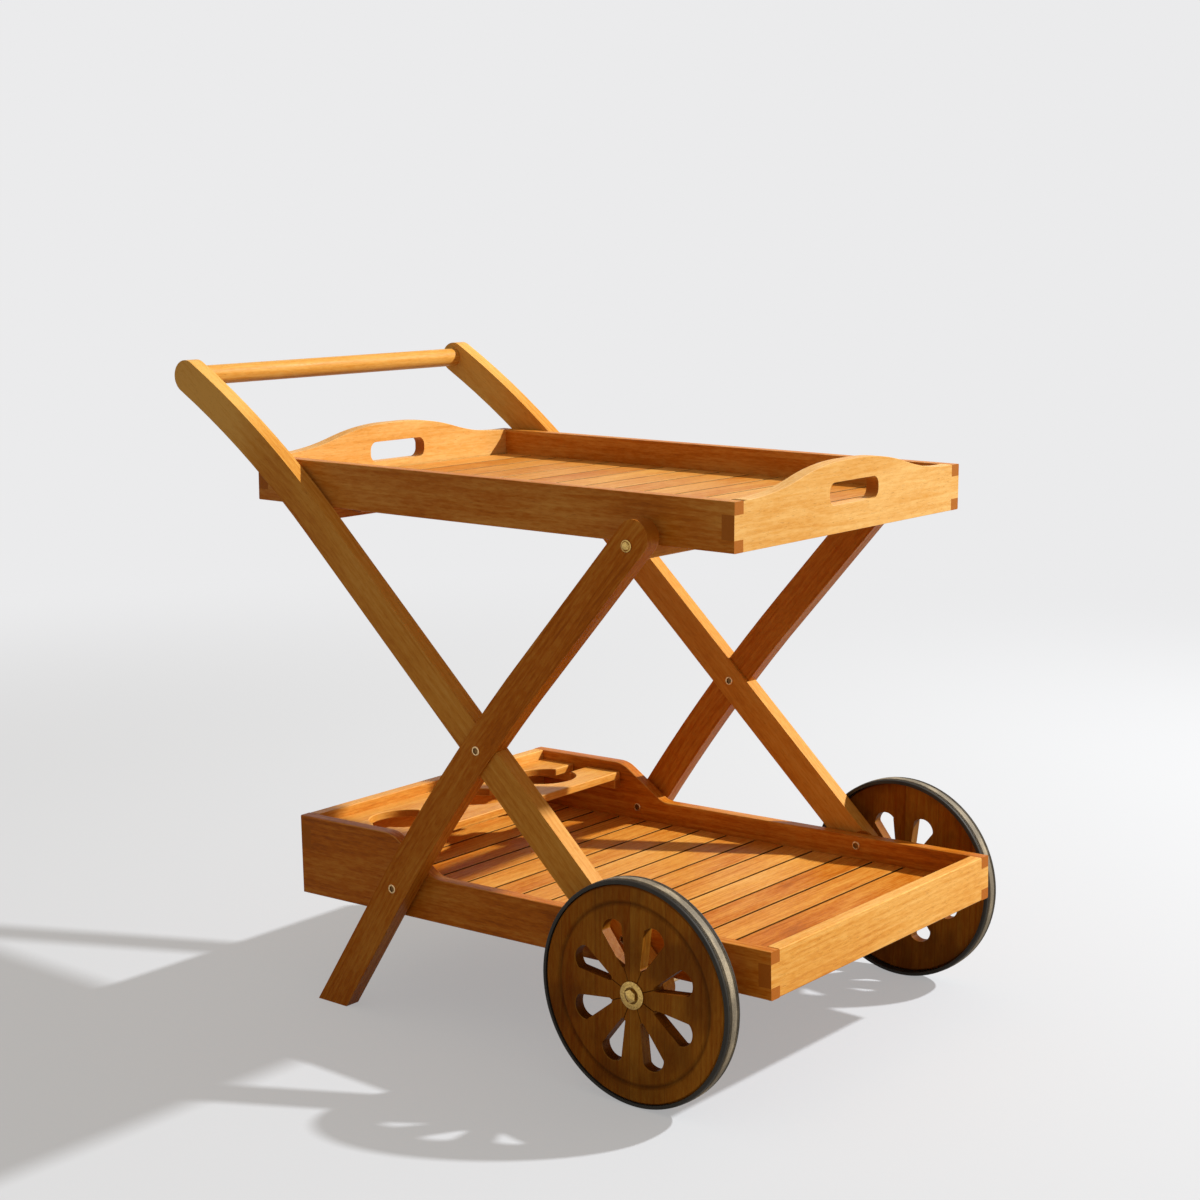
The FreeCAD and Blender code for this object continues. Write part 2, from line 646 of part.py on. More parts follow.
SEAT = "Spots.rail_seat"
front_blank = block(
    "front_cross_rail_blank",
    "Dims.rail_width",
    "Spots.foot_inner * 2",
    "Dims.rail_height + Dims.horn_height",
    ("Spots.rail_bolt_x - Dims.rail_width / 2", "-Spots.foot_inner", "Spots.rail_under"),
)
front_cuts = [
    block(
        "front_cross_rail_seat",
        "Dims.rail_width",
        SEAT + " * 2",
        "Dims.horn_height",
        ("Spots.rail_bolt_x - Dims.rail_width / 2", "-" + SEAT, "Dims.tray_level"),
    )
]
for side, sign in SIDES:
    bore = doc.addObject("Part::Cylinder", "front_cross_rail_%s_bore" % side)
    bind(bore, Radius="Spots.rail_bolt_hole / 2", Height="Spots.rail_bolt_depth + Dims.side_gap")
    bore.Placement = Placement(Vector(), Rotation(Vector(1, 0, 0), 90 * sign))
    place(bore, "Spots.rail_bolt_x", out(sign, "Spots.foot_inner"), "Spots.rail_bolt_z")
    front_cuts.append(bore)
front_tool = doc.addObject("Part::MultiFuse", "front_cross_rail_cuts")
front_tool.Shapes = front_cuts
front_rail = doc.addObject("Part::Cut", "front_cross_rail")
front_rail.Base = front_blank
front_rail.Tool = front_tool
nodes["front_cross_rail"] = front_rail


def side_board(end, thickness, front, rear, top):
    """Outline of a long board with a notch in each end for the end board's finger."""
    start = ("-" + end, "0")
    inner = "%s - %s" % (end, thickness)
    moves = [
        line(end, "0"),
        line(end, front[0]),
        line(inner, front[0]),
        line(inner, front[1]),
        line(end, front[1]),
    ]
    moves += list(top)
    moves += [
        line("-" + end, rear[1]),
        line("-(%s)" % inner, rear[1]),
        line("-(%s)" % inner, rear[0]),
        line("-" + end, rear[0]),
    ]
    return start, moves


def end_board(half, inner, finger, height, top=()):
    """Outline of an end board with one finger at each end."""
    start = ("-" + inner, "0")
    moves = [
        line(inner, "0"),
        line(inner, finger[0]),
        line(half, finger[0]),
        line(half, finger[1]),
        line(inner, finger[1]),
        line(inner, height),
    ]
    moves += list(top)
    moves += [
        line("-" + inner, height),
        line("-" + inner, finger[1]),
        line("-" + half, finger[1]),
        line("-" + half, finger[0]),
        line("-" + inner, finger[0]),
    ]
    return start, moves


# Upper tray: box-jointed boards, each end raised to a crest over its hand slot.
TRAY_FINGER = ("Spots.tray_low", "Spots.tray_high")
for side, sign in SIDES:
    label = "tray_%s_side" % side
    board = plank(
        label,
        "XZ_Plane",
        "Dims.tray_board",
        *side_board(
            "Spots.tray_end",
            "Dims.tray_board",
            TRAY_FINGER,
            TRAY_FINGER,
            (
                line("Spots.tray_end", "Dims.tray_side_height"),
                line("-Spots.tray_end", "Dims.tray_side_height"),
            ),
        ),
    )
    place(board, "Dims.tray_x", out(sign, "Spots.tray_half - Dims.tray_board / 2"), "Dims.tray_level")
    nodes[label] = board

CREST = (
    line("Spots.crest_out", "Dims.tray_side_height"),
    arc("Spots.crest_radius", -1, "Spots.crest_mid_y", "Spots.crest_mid_z"),
    arc("Spots.crest_radius", 1, "Dims.crest_flat / 2", "Dims.tray_crest"),
    line("-Dims.crest_flat / 2", "Dims.tray_crest"),
    arc("Spots.crest_radius", 1, "-Spots.crest_mid_y", "Spots.crest_mid_z"),
    arc("Spots.crest_radius", -1, "-Spots.crest_out", "Dims.tray_side_height"),
)
SLOT_Y = "Dims.slot_length / 2"
SLOT_FLAT = "(Dims.slot_length / 2 - Dims.slot_round)"
SLOT_UP = "Dims.slot_level + Dims.slot_height / 2"
SLOT_DOWN = "Dims.slot_level - Dims.slot_height / 2"
SLOT_ROUND = "Dims.slot_round"
SLOT = (
    ("0", SLOT_DOWN),
    (
        line(SLOT_FLAT, SLOT_DOWN),
        arc(SLOT_ROUND, 1, SLOT_Y, SLOT_DOWN + " + Dims.slot_round"),
        line(SLOT_Y, SLOT_UP + " - Dims.slot_round"),
        arc(SLOT_ROUND, 1, SLOT_FLAT, SLOT_UP),
        line("-" + SLOT_FLAT, SLOT_UP),
        arc(SLOT_ROUND, 1, "-" + SLOT_Y, SLOT_UP + " - Dims.slot_round"),
        line("-" + SLOT_Y, SLOT_DOWN + " + Dims.slot_round"),
        arc(SLOT_ROUND, 1, "-" + SLOT_FLAT, SLOT_DOWN),
    ),
)
for side, sign in (("front", 1), ("rear", -1)):
    label = "tray_%s_end" % side
    board = plank(
        label,
        "YZ_Plane",
        "Dims.tray_board",
        *end_board("Spots.tray_half", "Spots.tray_inner", TRAY_FINGER, "Dims.tray_side_height", CREST),
        windows=(SLOT,),
    )
    reach = out(sign, "Spots.tray_end - Dims.tray_board / 2")
    place(board, "Dims.tray_x + " + reach, "0", "Dims.tray_level")
    nodes[label] = board

SLAT_Y = "(Spots.tray_inner - Dims.slat_end_gap)"
slats = []
for index in range(round(size("Dims.tray_slat_count"))):
    start = "(Spots.tray_slat + Dims.tray_slat_gap) * %d + Dims.tray_slat_gap" % index
    slats.append(
        block(
            "tray_slat_%02d" % (index + 1),
            "Spots.tray_slat",
            SLAT_Y + " * 2",
            "Dims.tray_slat_thickness",
            (
                "Dims.tray_x - Spots.tray_bay + " + start,
                "-" + SLAT_Y,
                "Dims.tray_level + Spots.tray_slat_z",
            ),
        )
    )
gather("tray_slats", slats)

battens = []
for side, sign in SIDES:
    inner = "Spots.tray_inner" if sign < 0 else "Dims.tray_batten_width - Spots.tray_inner"
    battens.append(
        block(
            "tray_%s_batten" % side,
            "Spots.tray_bay * 2",
            "Dims.tray_batten_width",
            "Dims.tray_batten_height",
            (
                "Dims.tray_x - Spots.tray_bay",
                "-(%s)" % inner,
                "Dims.tray_level + Spots.tray_slat_z - Dims.tray_batten_height",
            ),
        )
    )
gather("tray_battens", battens)

STOP_Y = "(Spots.tray_inner - Dims.tray_batten_width - Dims.slat_end_gap)"
REAR_STOP = "Spots.rear_rail_x + Dims.rail_width / 2 + Dims.stop_gap"
FRONT_STOP = "Spots.rail_bolt_x - Dims.rail_width / 2 - Dims.stop_gap - Dims.stop_width"
stops = []
for side, start in (("rear", REAR_STOP), ("front", FRONT_STOP)):
    stops.append(
        block(
            "tray_%s_stop" % side,
            "Dims.stop_width",
            STOP_Y + " * 2",
            "Spots.tray_slat_z + Dims.stop_drop",
            (start, "-" + STOP_Y, "Dims.tray_level - Dims.stop_drop"),
        )
    )
gather("tray_stops", stops)

# Lower shelf: tall at the handle end, stepped down to a low lip, slightly sloped.
FRONT_FINGER = ("Spots.front_low", "Spots.front_high")
REAR_FINGER = ("Spots.rear_low", "Spots.rear_high")
FALL_X = "cos(Spots.step_fall)"
FALL_Z = "sin(Spots.step_fall)"
STEP = (
    line("Spots.shelf_end", "Dims.shelf_low"),
    line("Spots.step_foot + Spots.foot_ease", "Dims.shelf_low"),
    arc(
        "Dims.step_fillet",
        -1,
        "Spots.step_foot - Spots.foot_ease * " + FALL_X,
        "Dims.shelf_low + Spots.foot_ease * " + FALL_Z,
    ),
    line(
        "Spots.step_x + Spots.step_ease * " + FALL_X,
        "Dims.shelf_tall - Spots.step_ease * " + FALL_Z,
    ),
    arc("Dims.step_round", 1, "Spots.step_x - Spots.step_ease", "Dims.shelf_tall"),
    line("-Spots.shelf_end", "Dims.shelf_tall"),
)
for side, sign in SIDES:
    label = "shelf_%s_side" % side
    board = plank(
        label,
        "XZ_Plane",
        "Dims.shelf_board",
        *side_board("Spots.shelf_end", "Dims.shelf_board", FRONT_FINGER, REAR_FINGER, STEP),
        holes=(
            ("Spots.foot_bolt_run", "Dims.bolt_level", "Spots.bolt_hole"),
            ("Spots.axle_bolt_run", "Dims.bolt_level", "Spots.bolt_hole"),
        ),
    )
    on_shelf(board, out(sign, "Spots.shelf_half - Dims.shelf_board / 2"))
    nodes[label] = board

for side, sign, finger, height in (
    ("front", 1, FRONT_FINGER, "Dims.shelf_low"),
    ("rear", -1, REAR_FINGER, "Dims.shelf_tall"),
):
    label = "shelf_%s_end" % side
    board = plank(
        label,
        "YZ_Plane",
        "Dims.shelf_board",
        *end_board("Spots.shelf_half", "Spots.shelf_inner", finger, height),
    )
    in_shelf(board, out(sign, "Spots.shelf_end - Dims.shelf_board / 2"), "0", "0")
    nodes[label] = board

SHELF_Y = "(Spots.shelf_inner - Dims.slat_end_gap)"
for index in range(round(size("Dims.shelf_slat_count"))):
    label = "shelf_slat_%02d" % (index + 1)
    start = "(Spots.shelf_slat + Dims.shelf_slat_gap) * %d + Dims.shelf_slat_gap" % index
    slat = block(label, "Spots.shelf_slat", SHELF_Y + " * 2", "Dims.shelf_slat_thickness")
    in_shelf(slat, start + " - Spots.shelf_bay", "-" + SHELF_Y, "Spots.shelf_slat_z")
    nodes[label] = slat

battens = []
cleats = []
for side, sign in SIDES:
    inner = "Spots.shelf_inner" if sign < 0 else "Dims.shelf_batten_width - Spots.shelf_inner"
    batten = block(
        "shelf_%s_batten" % side,
        "Spots.shelf_bay * 2",
        "Dims.shelf_batten_width",
        "Dims.shelf_batten_height",
    )
    in_shelf(
        batten,
        "-Spots.shelf_bay",
        "-(%s)" % inner,
        "Spots.shelf_slat_z - Dims.shelf_batten_height",
    )
    battens.append(batten)
    inner = "Spots.shelf_inner" if sign < 0 else "Dims.cleat_width - Spots.shelf_inner"
    cleat = block("rack_%s_cleat" % side, "Spots.rack_depth", "Dims.cleat_width", "Dims.cleat_height")
    in_shelf(cleat, "-Spots.shelf_bay", "-(%s)" % inner, "Spots.rack_z - Dims.cleat_height")
    cleats.append(cleat)
gather("shelf_battens", battens)
gather("rack_cleats", cleats)

# Bottle rack: two planks whose facing edges are scooped out around each bottle.
for side, start, width in (
    ("rear", "-Spots.shelf_bay", "Dims.rear_plank_width"),
    ("front", "Spots.rack_front", "Dims.front_plank_width"),
):
    label = "bottle_rack_%s_plank" % side
    blank = block(
        label + "_blank",
        width,
        SHELF_Y + " * 2",
        "Dims.rack_thickness",
        (start, "-" + SHELF_Y, "Spots.rack_z"),
    )
    scoops = []
    count = round(size("Dims.bottle_count"))
    for index in range(count):
        scoop = doc.addObject("Part::Cylinder", "%s_scoop_%d" % (label, index + 1))
        bind(scoop, Radius="Dims.bottle_diameter / 2", Height="Dims.rack_thickness")
        offset = "Dims.bottle_pitch * (%d - (Dims.bottle_count - 1) / 2)" % index
        place(scoop, "Spots.rack_middle", offset, "Spots.rack_z")
        scoops.append(scoop)
    tool = doc.addObject("Part::MultiFuse", label + "_scoops")
    tool.Shapes = scoops
    rack = doc.addObject("Part::Cut", label)
    rack.Base = blank
    rack.Tool = tool
    on_shelf(rack)
    nodes[label] = rack

# Axle, shouldered at both ends for the hub discs and domed nuts.
AXLE_R = "Dims.axle_diameter / 2"
THREAD_R = "Dims.axle_thread / 2"
SHOULDER = "Spots.axle_shoulder"
AXLE_END = "(Spots.nut_seat + Dims.nut_bore_depth - Dims.side_gap)"
axle = turned(
    "axle",
    ("0", "-" + AXLE_END),
    (
        line(THREAD_R, "-" + AXLE_END),
        line(THREAD_R, "-" + SHOULDER),
        line(AXLE_R, "-" + SHOULDER),
        line(AXLE_R, SHOULDER),
        line(THREAD_R, SHOULDER),
        line(THREAD_R, AXLE_END),
        line("0", AXLE_END),
    ),
)
place(axle, *[AXLE[0], "0", AXLE[1]])
nodes["axle"] = axle


def ring(label, sign, bore, radius, length, edge=None):
    """Turned ring that grows outward from its seat."""
    moves = [line(radius, "0")]
    if edge:
        moves.append(line(radius, out(sign, "%s - %s" % (length, edge))))
        moves.append(line("%s - %s" % (radius, edge), out(sign, length)))
    else:
        moves.append(line(radius, out(sign, length)))
    moves.append(line(bore, out(sign, length)))
    return turned(label, (bore, "0"), moves)


def polar(body, name, originals, count):
    pattern = body.newObject("PartDesign::PolarPattern", name)
    pattern.Originals = originals
    pattern.Axis = (plane_of(body, "Y_Axis"), [""])
    pattern.Angle = 360
    bind(pattern, Occurrences=count)
    body.Tip = pattern
    return pattern


# Wheels: glued-up discs with petal cut-outs, turning on flanged bushes.
RIM = "Spots.rim_radius"
FACE = "Dims.wheel_thickness / 2"
RING = "Spots.ring_groove"
TYRE = "Spots.wheel_radius"
TREAD = "Dims.tyre_width / 2"
PETAL_L = "(Spots.petal_turn - Dims.petal_half_angle)"
PETAL_R = "(Spots.petal_turn + Dims.petal_half_angle)"
TIP_L = "(Spots.petal_turn - Dims.petal_tip_half_angle)"
TIP_R = "(Spots.petal_turn + Dims.petal_tip_half_angle)"
SEAM = "Spots.petal_turn"
hub_discs = []
domed_nuts = []
spacer_rings = []
for side, sign in SIDES:
    label = side + "_wheel_disc"
    bore = "Dims.bush_diameter / 2 + Dims.fit_gap"
    back = out(-sign, FACE)
    face = out(sign, FACE)
    boss = "Dims.wheel_boss_diameter / 2"
    web = out(sign, FACE + " - Dims.wheel_web")
    disc = turned(
        label,
        (bore, back),
        (
            line(boss, back),
            line(boss, web),
            line(RIM + " - Dims.wheel_edge", web),
            line(RIM, out(sign, FACE + " - Dims.wheel_web + Dims.wheel_edge")),
            line(RIM, out(sign, FACE + " - Dims.wheel_edge")),
            line(RIM + " - Dims.wheel_edge", face),
            line(RING + " + Dims.ring_groove_width / 2", face),
            line(RING, out(sign, FACE + " - Dims.ring_groove_depth")),
            line(RING + " - Dims.ring_groove_width / 2", face),
            line(bore, face),
        ),
    )
    petal = sketch_on(disc, label + "_petal", "XZ_Plane")
    tip = "Spots.petal_tip"
    corner = "Spots.petal_corner"
    outline(
        petal,
        ("%s * sin(%s)" % (corner, PETAL_R), "%s * cos(%s)" % (corner, PETAL_R)),
        (
            arc(
                "Spots.petal_arc",
                1,
                "%s * sin(%s)" % (corner, PETAL_L),
                "%s * cos(%s)" % (corner, PETAL_L),
            ),
            line("%s * sin(%s)" % (tip, TIP_L), "%s * cos(%s)" % (tip, TIP_L)),
            arc(
                "Spots.petal_tip_arc",
                1,
                "%s * sin(%s)" % (tip, TIP_R),
                "%s * cos(%s)" % (tip, TIP_R),
            ),
        ),
    )
    cut = disc.newObject("PartDesign::Pocket", label + "_petal_cut")
    cut.Profile = petal
    cut.Type = "ThroughAll"
    cut.SideType = "Symmetric"
    polar(disc, label + "_petals", [cut], "Dims.petal_count")
    seam = sketch_on(disc, label + "_seam", "XZ_Plane")
    bind(seam, **{"AttachmentOffset.Base.z": out(-sign, FACE)})
    near = "Dims.bush_flange_diameter / 2"
    far = "Spots.petal_tip + Dims.joint_line_width"
    edge = "Dims.joint_line_width / 2"
    outline(
        seam,
        beside(SEAM, "0", "0", edge, near),
        (
            line(*beside(SEAM, "0", "0", edge, far)),
            line(*beside(SEAM, "0", "0", "-" + edge, far)),
            line(*beside(SEAM, "0", "0", "-" + edge, near)),
        ),
    )
    kerf = disc.newObject("PartDesign::Pocket", label + "_kerf")
    kerf.Profile = seam
    kerf.Reversed = sign > 0
    bind(kerf, Length="Dims.joint_line_depth")
    polar(disc, label + "_kerfs", [kerf], "Dims.petal_count")
    place(disc, AXLE[0], out(sign, "Spots.wheel_y"), AXLE[1])
    nodes[label] = disc

    label = side + "_tyre"
    inner = TYRE + " - Dims.tyre_depth"
    moves = [
        line(TYRE + " - Dims.tyre_shoulder", out(-sign, TREAD)),
        line(TYRE, out(-sign, TREAD + " - Dims.tyre_shoulder")),
    ]
    for centre in ("-Dims.tread_spacing / 2", "Dims.tread_spacing / 2"):
        moves += [
            line(TYRE, out(sign, centre + " - Dims.tread_groove / 2")),
            line(TYRE + " - Dims.tread_depth", out(sign, centre)),
            line(TYRE, out(sign, centre + " + Dims.tread_groove / 2")),
        ]
    moves += [
        line(TYRE, out(sign, TREAD + " - Dims.tyre_shoulder")),
        line(TYRE + " - Dims.tyre_shoulder", out(sign, TREAD)),
        line(inner, out(sign, TREAD)),
    ]
    tyre = turned(label, (inner, out(-sign, TREAD)), moves)
    place(tyre, AXLE[0], out(sign, "Spots.wheel_y"), AXLE[1])
    nodes[label] = tyre

    label = side + "_bush"
    bore = AXLE_R + " + Dims.run_gap"
    flange = out(-sign, FACE + " + Dims.bush_flange")
    bush = turned(
        label,
        (bore, flange),
        (
            line("Dims.bush_flange_diameter / 2", flange),
            line("Dims.bush_flange_diameter / 2", back),
            line("Dims.bush_diameter / 2", back),
            line("Dims.bush_diameter / 2", face),
            line(bore, face),
        ),
    )
    place(bush, AXLE[0], out(sign, "Spots.wheel_y"), AXLE[1])
    nodes[label] = bush

    spacer = ring(
        side + "_spacer_ring",
        sign,
        AXLE_R + " + Dims.fit_gap",
        "Dims.spacer_ring_diameter / 2",
        "Dims.wheel_standoff - Dims.bush_flange - Dims.side_gap",
    )
    place(spacer, AXLE[0], out(sign, "Spots.handle_outer"), AXLE[1])
    spacer_rings.append(spacer)

    hub = ring(
        side + "_hub_disc",
        sign,
        THREAD_R + " + Dims.fit_gap",
        "Dims.hub_disc_diameter / 2",
        "Dims.hub_disc_thickness",
        "Dims.hub_disc_edge",
    )
    place(hub, AXLE[0], out(sign, "Spots.axle_shoulder"), AXLE[1])
    hub_discs.append(hub)

    label = side + "_domed_nut"
    nut = doc.addObject("PartDesign::Body", label)
    flats = sketch_on(nut, label + "_flats", "XZ_Plane")
    corners = []
    for index in range(HEX):
        angle = "(360 * %d / %d)" % (index, HEX)
        corners.append(("Spots.nut_corner * cos(%s)" % angle, "Spots.nut_corner * sin(%s)" % angle))
    outline(flats, corners[0], [line(*corner) for corner in corners[1:]])
    grip = nut.newObject("PartDesign::Pad", label + "_grip")
    grip.Profile = flats
    grip.Reversed = sign > 0
    bind(grip, Length="Dims.nut_height")
    dome = sketch_on(nut, label + "_dome", "XY_Plane")
    outline(
        dome,
        ("0", out(sign, "Dims.nut_height")),
        (
            line("Dims.nut_dome_diameter / 2", out(sign, "Dims.nut_height")),
            arc("Spots.nut_dome", sign, "0", out(sign, "Spots.nut_top")),
        ),
    )
    crown = nut.newObject("PartDesign::Revolution", label + "_crown")
    crown.Profile = dome
    crown.ReferenceAxis = (dome, ["V_Axis"])
    thread = sketch_on(nut, label + "_thread", "XZ_Plane")
    circle(thread, "0", "0", "Dims.axle_thread + Dims.fit_gap * 2")
    bore = nut.newObject("PartDesign::Pocket", label + "_bore")
    bore.Profile = thread
    bore.Reversed = sign < 0
    bind(bore, Length="Dims.nut_bore_depth")
    place(nut, AXLE[0], out(sign, "Spots.nut_seat"), AXLE[1])
    domed_nuts.append(nut)
gather("hub_discs", hub_discs)
gather("domed_nuts", domed_nuts)
gather("spacer_rings", spacer_rings)


def socket_bolt(label, sign, grip):
    """Flat-headed bolt with a socket; the head grows outward, the shank inward."""
    shank = "Dims.bolt_diameter / 2"
    head = "Dims.bolt_head_diameter / 2"
    tall = "Dims.bolt_head_height"
    socket = "Dims.bolt_socket_diameter / 2"
    tail = out(-sign, grip + " - Dims.side_gap")
    deep = out(sign, tall + " - Dims.bolt_socket_depth")
    return turned(
        label,
        ("0", tail),
        (
            line(shank, tail),
            line(shank, "0"),
            line(head, "0"),
            line(head, out(sign, tall + " - Dims.bolt_head_edge")),
            line(head + " - Dims.bolt_head_edge", out(sign, tall)),
            line(socket, out(sign, tall)),
            line(socket, deep),
            line("0", deep),
        ),
    )


def sleeve_nut(label, sign):
    """Flat-headed sleeve nut; the sleeve enters the wood opposite to its head."""
    bore = "Dims.bolt_diameter / 2 + Dims.fit_gap"
    sleeve = "Dims.sleeve_diameter / 2"
    head = "Dims.bolt_head_diameter / 2"
    tall = "Dims.bolt_head_height"
    tail = out(-sign, "Dims.sleeve_length")
    return turned(
        label,
        (bore, tail),
        (
            line(sleeve, tail),
            line(sleeve, "0"),
            line(head, "0"),
            line(head, out(sign, tall + " - Dims.bolt_head_edge")),
            line(head + " - Dims.bolt_head_edge", out(sign, tall)),
            line(bore, out(sign, tall)),
        ),
    )


# Bolts at the crossing, at the shelf and at the front rail.
JOINTS = (
    ("crossing", "cross", "Spots.foot_outer", "Spots.half_frame"),
    ("foot_shelf", "foot_bolt", "Spots.foot_outer", "Spots.shelf_inner"),
    ("axle_shelf", "axle_bolt", "Spots.handle_outer", "Spots.shelf_inner"),
)
bolts = {"crossing_bolts": [], "foot_shelf_bolts": [], "axle_shelf_bolts": []}
sleeves = []
for name, spot, far, near in JOINTS:
    for side, sign in SIDES:
        where = ("Spots.%s_x" % spot, "Spots.%s_z" % spot)
        bolt = socket_bolt("%s_%s_bolt" % (side, name), sign, "%s - %s" % (far, near))
        place(bolt, where[0], out(sign, far), where[1])
        bolts[name + "_bolts"].append(bolt)
        sleeve = sleeve_nut("%s_%s_sleeve" % (side, name), -sign)
        place(sleeve, where[0], out(sign, near), where[1])
        sleeves.append(sleeve)
for label, pieces in bolts.items():
    gather(label, pieces)
gather("sleeve_nuts", sleeves)

shelf_spacers = []
rail_bolts = []
SHELF_GAPS = (("foot_bolt", "Spots.foot_inner - Spots.shelf_half"), ("axle_bolt", "Dims.shelf_clearance"))
for side, sign in SIDES:
    for spot, gap in SHELF_GAPS:
        spacer = ring(
            "%s_%s_spacer" % (side, spot),
            sign,
            "Spots.bolt_hole / 2",
            "Dims.spacer_diameter / 2",
            gap,
        )
        place(spacer, "Spots.%s_x" % spot, out(sign, "Spots.shelf_half"), "Spots.%s_z" % spot)
        shelf_spacers.append(spacer)
    shank = "Dims.bolt_diameter / 2"
    head = "Dims.rail_bolt_head / 2"
    tail = out(-sign, "Dims.leg_thickness + Spots.rail_bolt_depth")
    bolt = turned(
        side + "_rail_bolt",
        ("0", tail),
        (
            line(shank, tail),
            line(shank, "0"),
            line(head, "0"),
            line(head, out(sign, "Dims.rail_bolt_edge")),
            arc("Spots.rail_crown", sign, "0", out(sign, "Dims.rail_bolt_crown")),
        ),
    )
    place(bolt, "Spots.rail_bolt_x", out(sign, "Spots.foot_outer"), "Spots.rail_bolt_z")
    rail_bolts.append(bolt)
gather("shelf_spacers", shelf_spacers)
gather("rail_bolts", rail_bolts)

doc.recompute()
faults = [obj.Name for obj in doc.Objects if "Invalid" in obj.State or "Error" in obj.State]
for label, obj in nodes.items():
    if obj.Shape.isNull() or not obj.Shape.isValid() or not obj.Shape.Solids:
        faults.append(label)
if faults:
    raise RuntimeError("faulty: " + ", ".join(sorted(set(faults))))
for label, obj in nodes.items():
    obj.Label = label
    obj.Shape.exportStep("parts/%s.step" % label)
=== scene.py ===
"""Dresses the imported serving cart: oiled hardwood, rubber tyres, brass, steel and a plain stage."""

import math
import random

import bmesh
import bpy
from bpy.props import FloatProperty, FloatVectorProperty, IntProperty, PointerProperty
from mathutils import Matrix, Vector


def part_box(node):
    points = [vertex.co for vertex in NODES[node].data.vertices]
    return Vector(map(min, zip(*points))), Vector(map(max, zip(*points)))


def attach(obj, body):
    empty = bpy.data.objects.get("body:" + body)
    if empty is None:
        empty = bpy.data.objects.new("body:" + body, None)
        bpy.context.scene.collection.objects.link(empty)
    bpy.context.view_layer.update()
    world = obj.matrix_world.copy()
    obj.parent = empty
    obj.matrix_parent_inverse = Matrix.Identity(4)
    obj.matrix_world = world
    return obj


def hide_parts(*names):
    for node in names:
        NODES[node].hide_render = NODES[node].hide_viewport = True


bl_info = {
    "name": "Outdoor Serving Cart",
    "version": (1, 0, 0),
    "blender": (4, 5, 0),
    "location": "View3D > Sidebar > Cart",
    "description": "Oiled hardwood, tyres and hardware for a serving cart on crossed legs",
    "category": "Object",
}

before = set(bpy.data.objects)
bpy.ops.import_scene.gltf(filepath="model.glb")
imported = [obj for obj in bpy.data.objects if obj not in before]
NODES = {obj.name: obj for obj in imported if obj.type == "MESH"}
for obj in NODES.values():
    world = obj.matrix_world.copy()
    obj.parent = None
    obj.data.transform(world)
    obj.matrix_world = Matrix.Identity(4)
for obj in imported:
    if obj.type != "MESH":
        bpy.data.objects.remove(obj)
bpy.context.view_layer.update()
SIDES = (("right", -1), ("left", 1))
SHELF_SLATS = ["shelf_slat_%02d" % number for number in range(1, 16)]
ALONG_X, ALONG_Y, ALONG_Z = (1, 0, 0), (0, 1, 0), (0, 0, 1)

# Centre lines of the legs, in metres and degrees.
HANDLE_LEAN, HANDLE_STRAIGHT, HANDLE_BULGE = 42.7, 0.677, 0.0077
FOOT_LEAN, FOOT_HALF_SOLE = 57.4, 0.0237
KNEE_HEIGHT, KNEE_SHIFT = 0.304, (0.004, -0.003)
POST_LEAN, POST_RUN = 49.1, 0.2

# Tone of each board: 0 is pale, 1 is dark, and below 0 is paler still. The rest are drawn.
TONES = {
    "handle_leg": 0.1,
    "foot_leg": 0.95,
    # The push bar's very pale tone is painted light, for light falling on its upper side.
    "handle_bar": -0.6,
    "front_cross_rail": 0.5,
    "rear_cross_rail": 0.6,
    "shelf_spacers": 0.7,
    "tray_side": 0.75,
    "tray_end": -0.35,
    "shelf_side": 0.95,
    "shelf_end": -0.1,
}
TONE_SPREAD = 0.15
TRAY_SEED, SHELF_SEED = 7, 3

# Repeats per metre of the wood's figure: along, across and through a board.
FIGURE = {
    "warp": (2.6, 11, 11),
    "streak": (7, 300, 300),
    "fibre": (45, 1300, 1300),
    "blotch": (4.5, 15, 15),
    "pore": (150, 1700, 1700),
    "fleck": (80, 430, 430),
    "stain": (13, 17, 17),
}
# How the woods differ: tone, redness, strength of figure, shine, and where painted light starts.
WOODS = {
    "frame_wood": {"deeper": 0.85, "redder": 0.09, "lively": 0.85, "shine": 0.08, "painted_light_from": 0.76},
    "tray_wood": {"deeper": 0.96, "lively": 0.85},
    "shelf_wood": {"deeper": 0.97, "redder": 0.07, "lively": 0.95},
    # The wheel wood's dark tone is partly its own and partly painted shade, for the near wheel's
    # shaded face.
    "wheel_wood": {"deeper": 0.47, "redder": 0.14, "lively": 0.75, "shine": 0.05, "planks": True},
}
SEED_SPREAD = 37.0
LATE_WOOD = 0.82
STREAK_DEPTH, FLECK_DEPTH, FIBRE_DEPTH, BLOTCH_DEPTH, TONE_DEPTH = 0.14, 0.16, 0.1, 0.22, 0.32
# The last depth and the run below it set painted light: how much paler the handle legs get towards
# the push bar, and over what length.
RING_DEPTH, END_DEPTH, PAINTED_LIGHT_DEPTH = 0.1, 0.6, -0.36
PAINTED_LIGHT_RUN = 0.14
SHADE_END = (0.7, 0.6, 0.55, 1)
# Painted shade, for the slat sides in the floor gaps and the wheels' ring grooves.
PAINTED_SHADE_COLOUR = (0.16, 0.12, 0.1, 1)
SHADE_STAIN = (0.5, 0.42, 0.36, 1)
# Painted shade in bolt sockets and round the hub nuts.
PAINTED_RECESS_SHADE = (0.26, 0.2, 0.14, 1)

# Where joints begin, in metres. Edges inside a joint stay sharp.
LEG_CORE, LEG_FACE = 0.017, 0.2275
TRAY_CORNER, TRAY_JOINT = 0.0165, 0.2095
SHELF_REAR_CORNER, SHELF_FRONT_CORNER, SHELF_JOINT = 0.019, 0.018, 0.2115

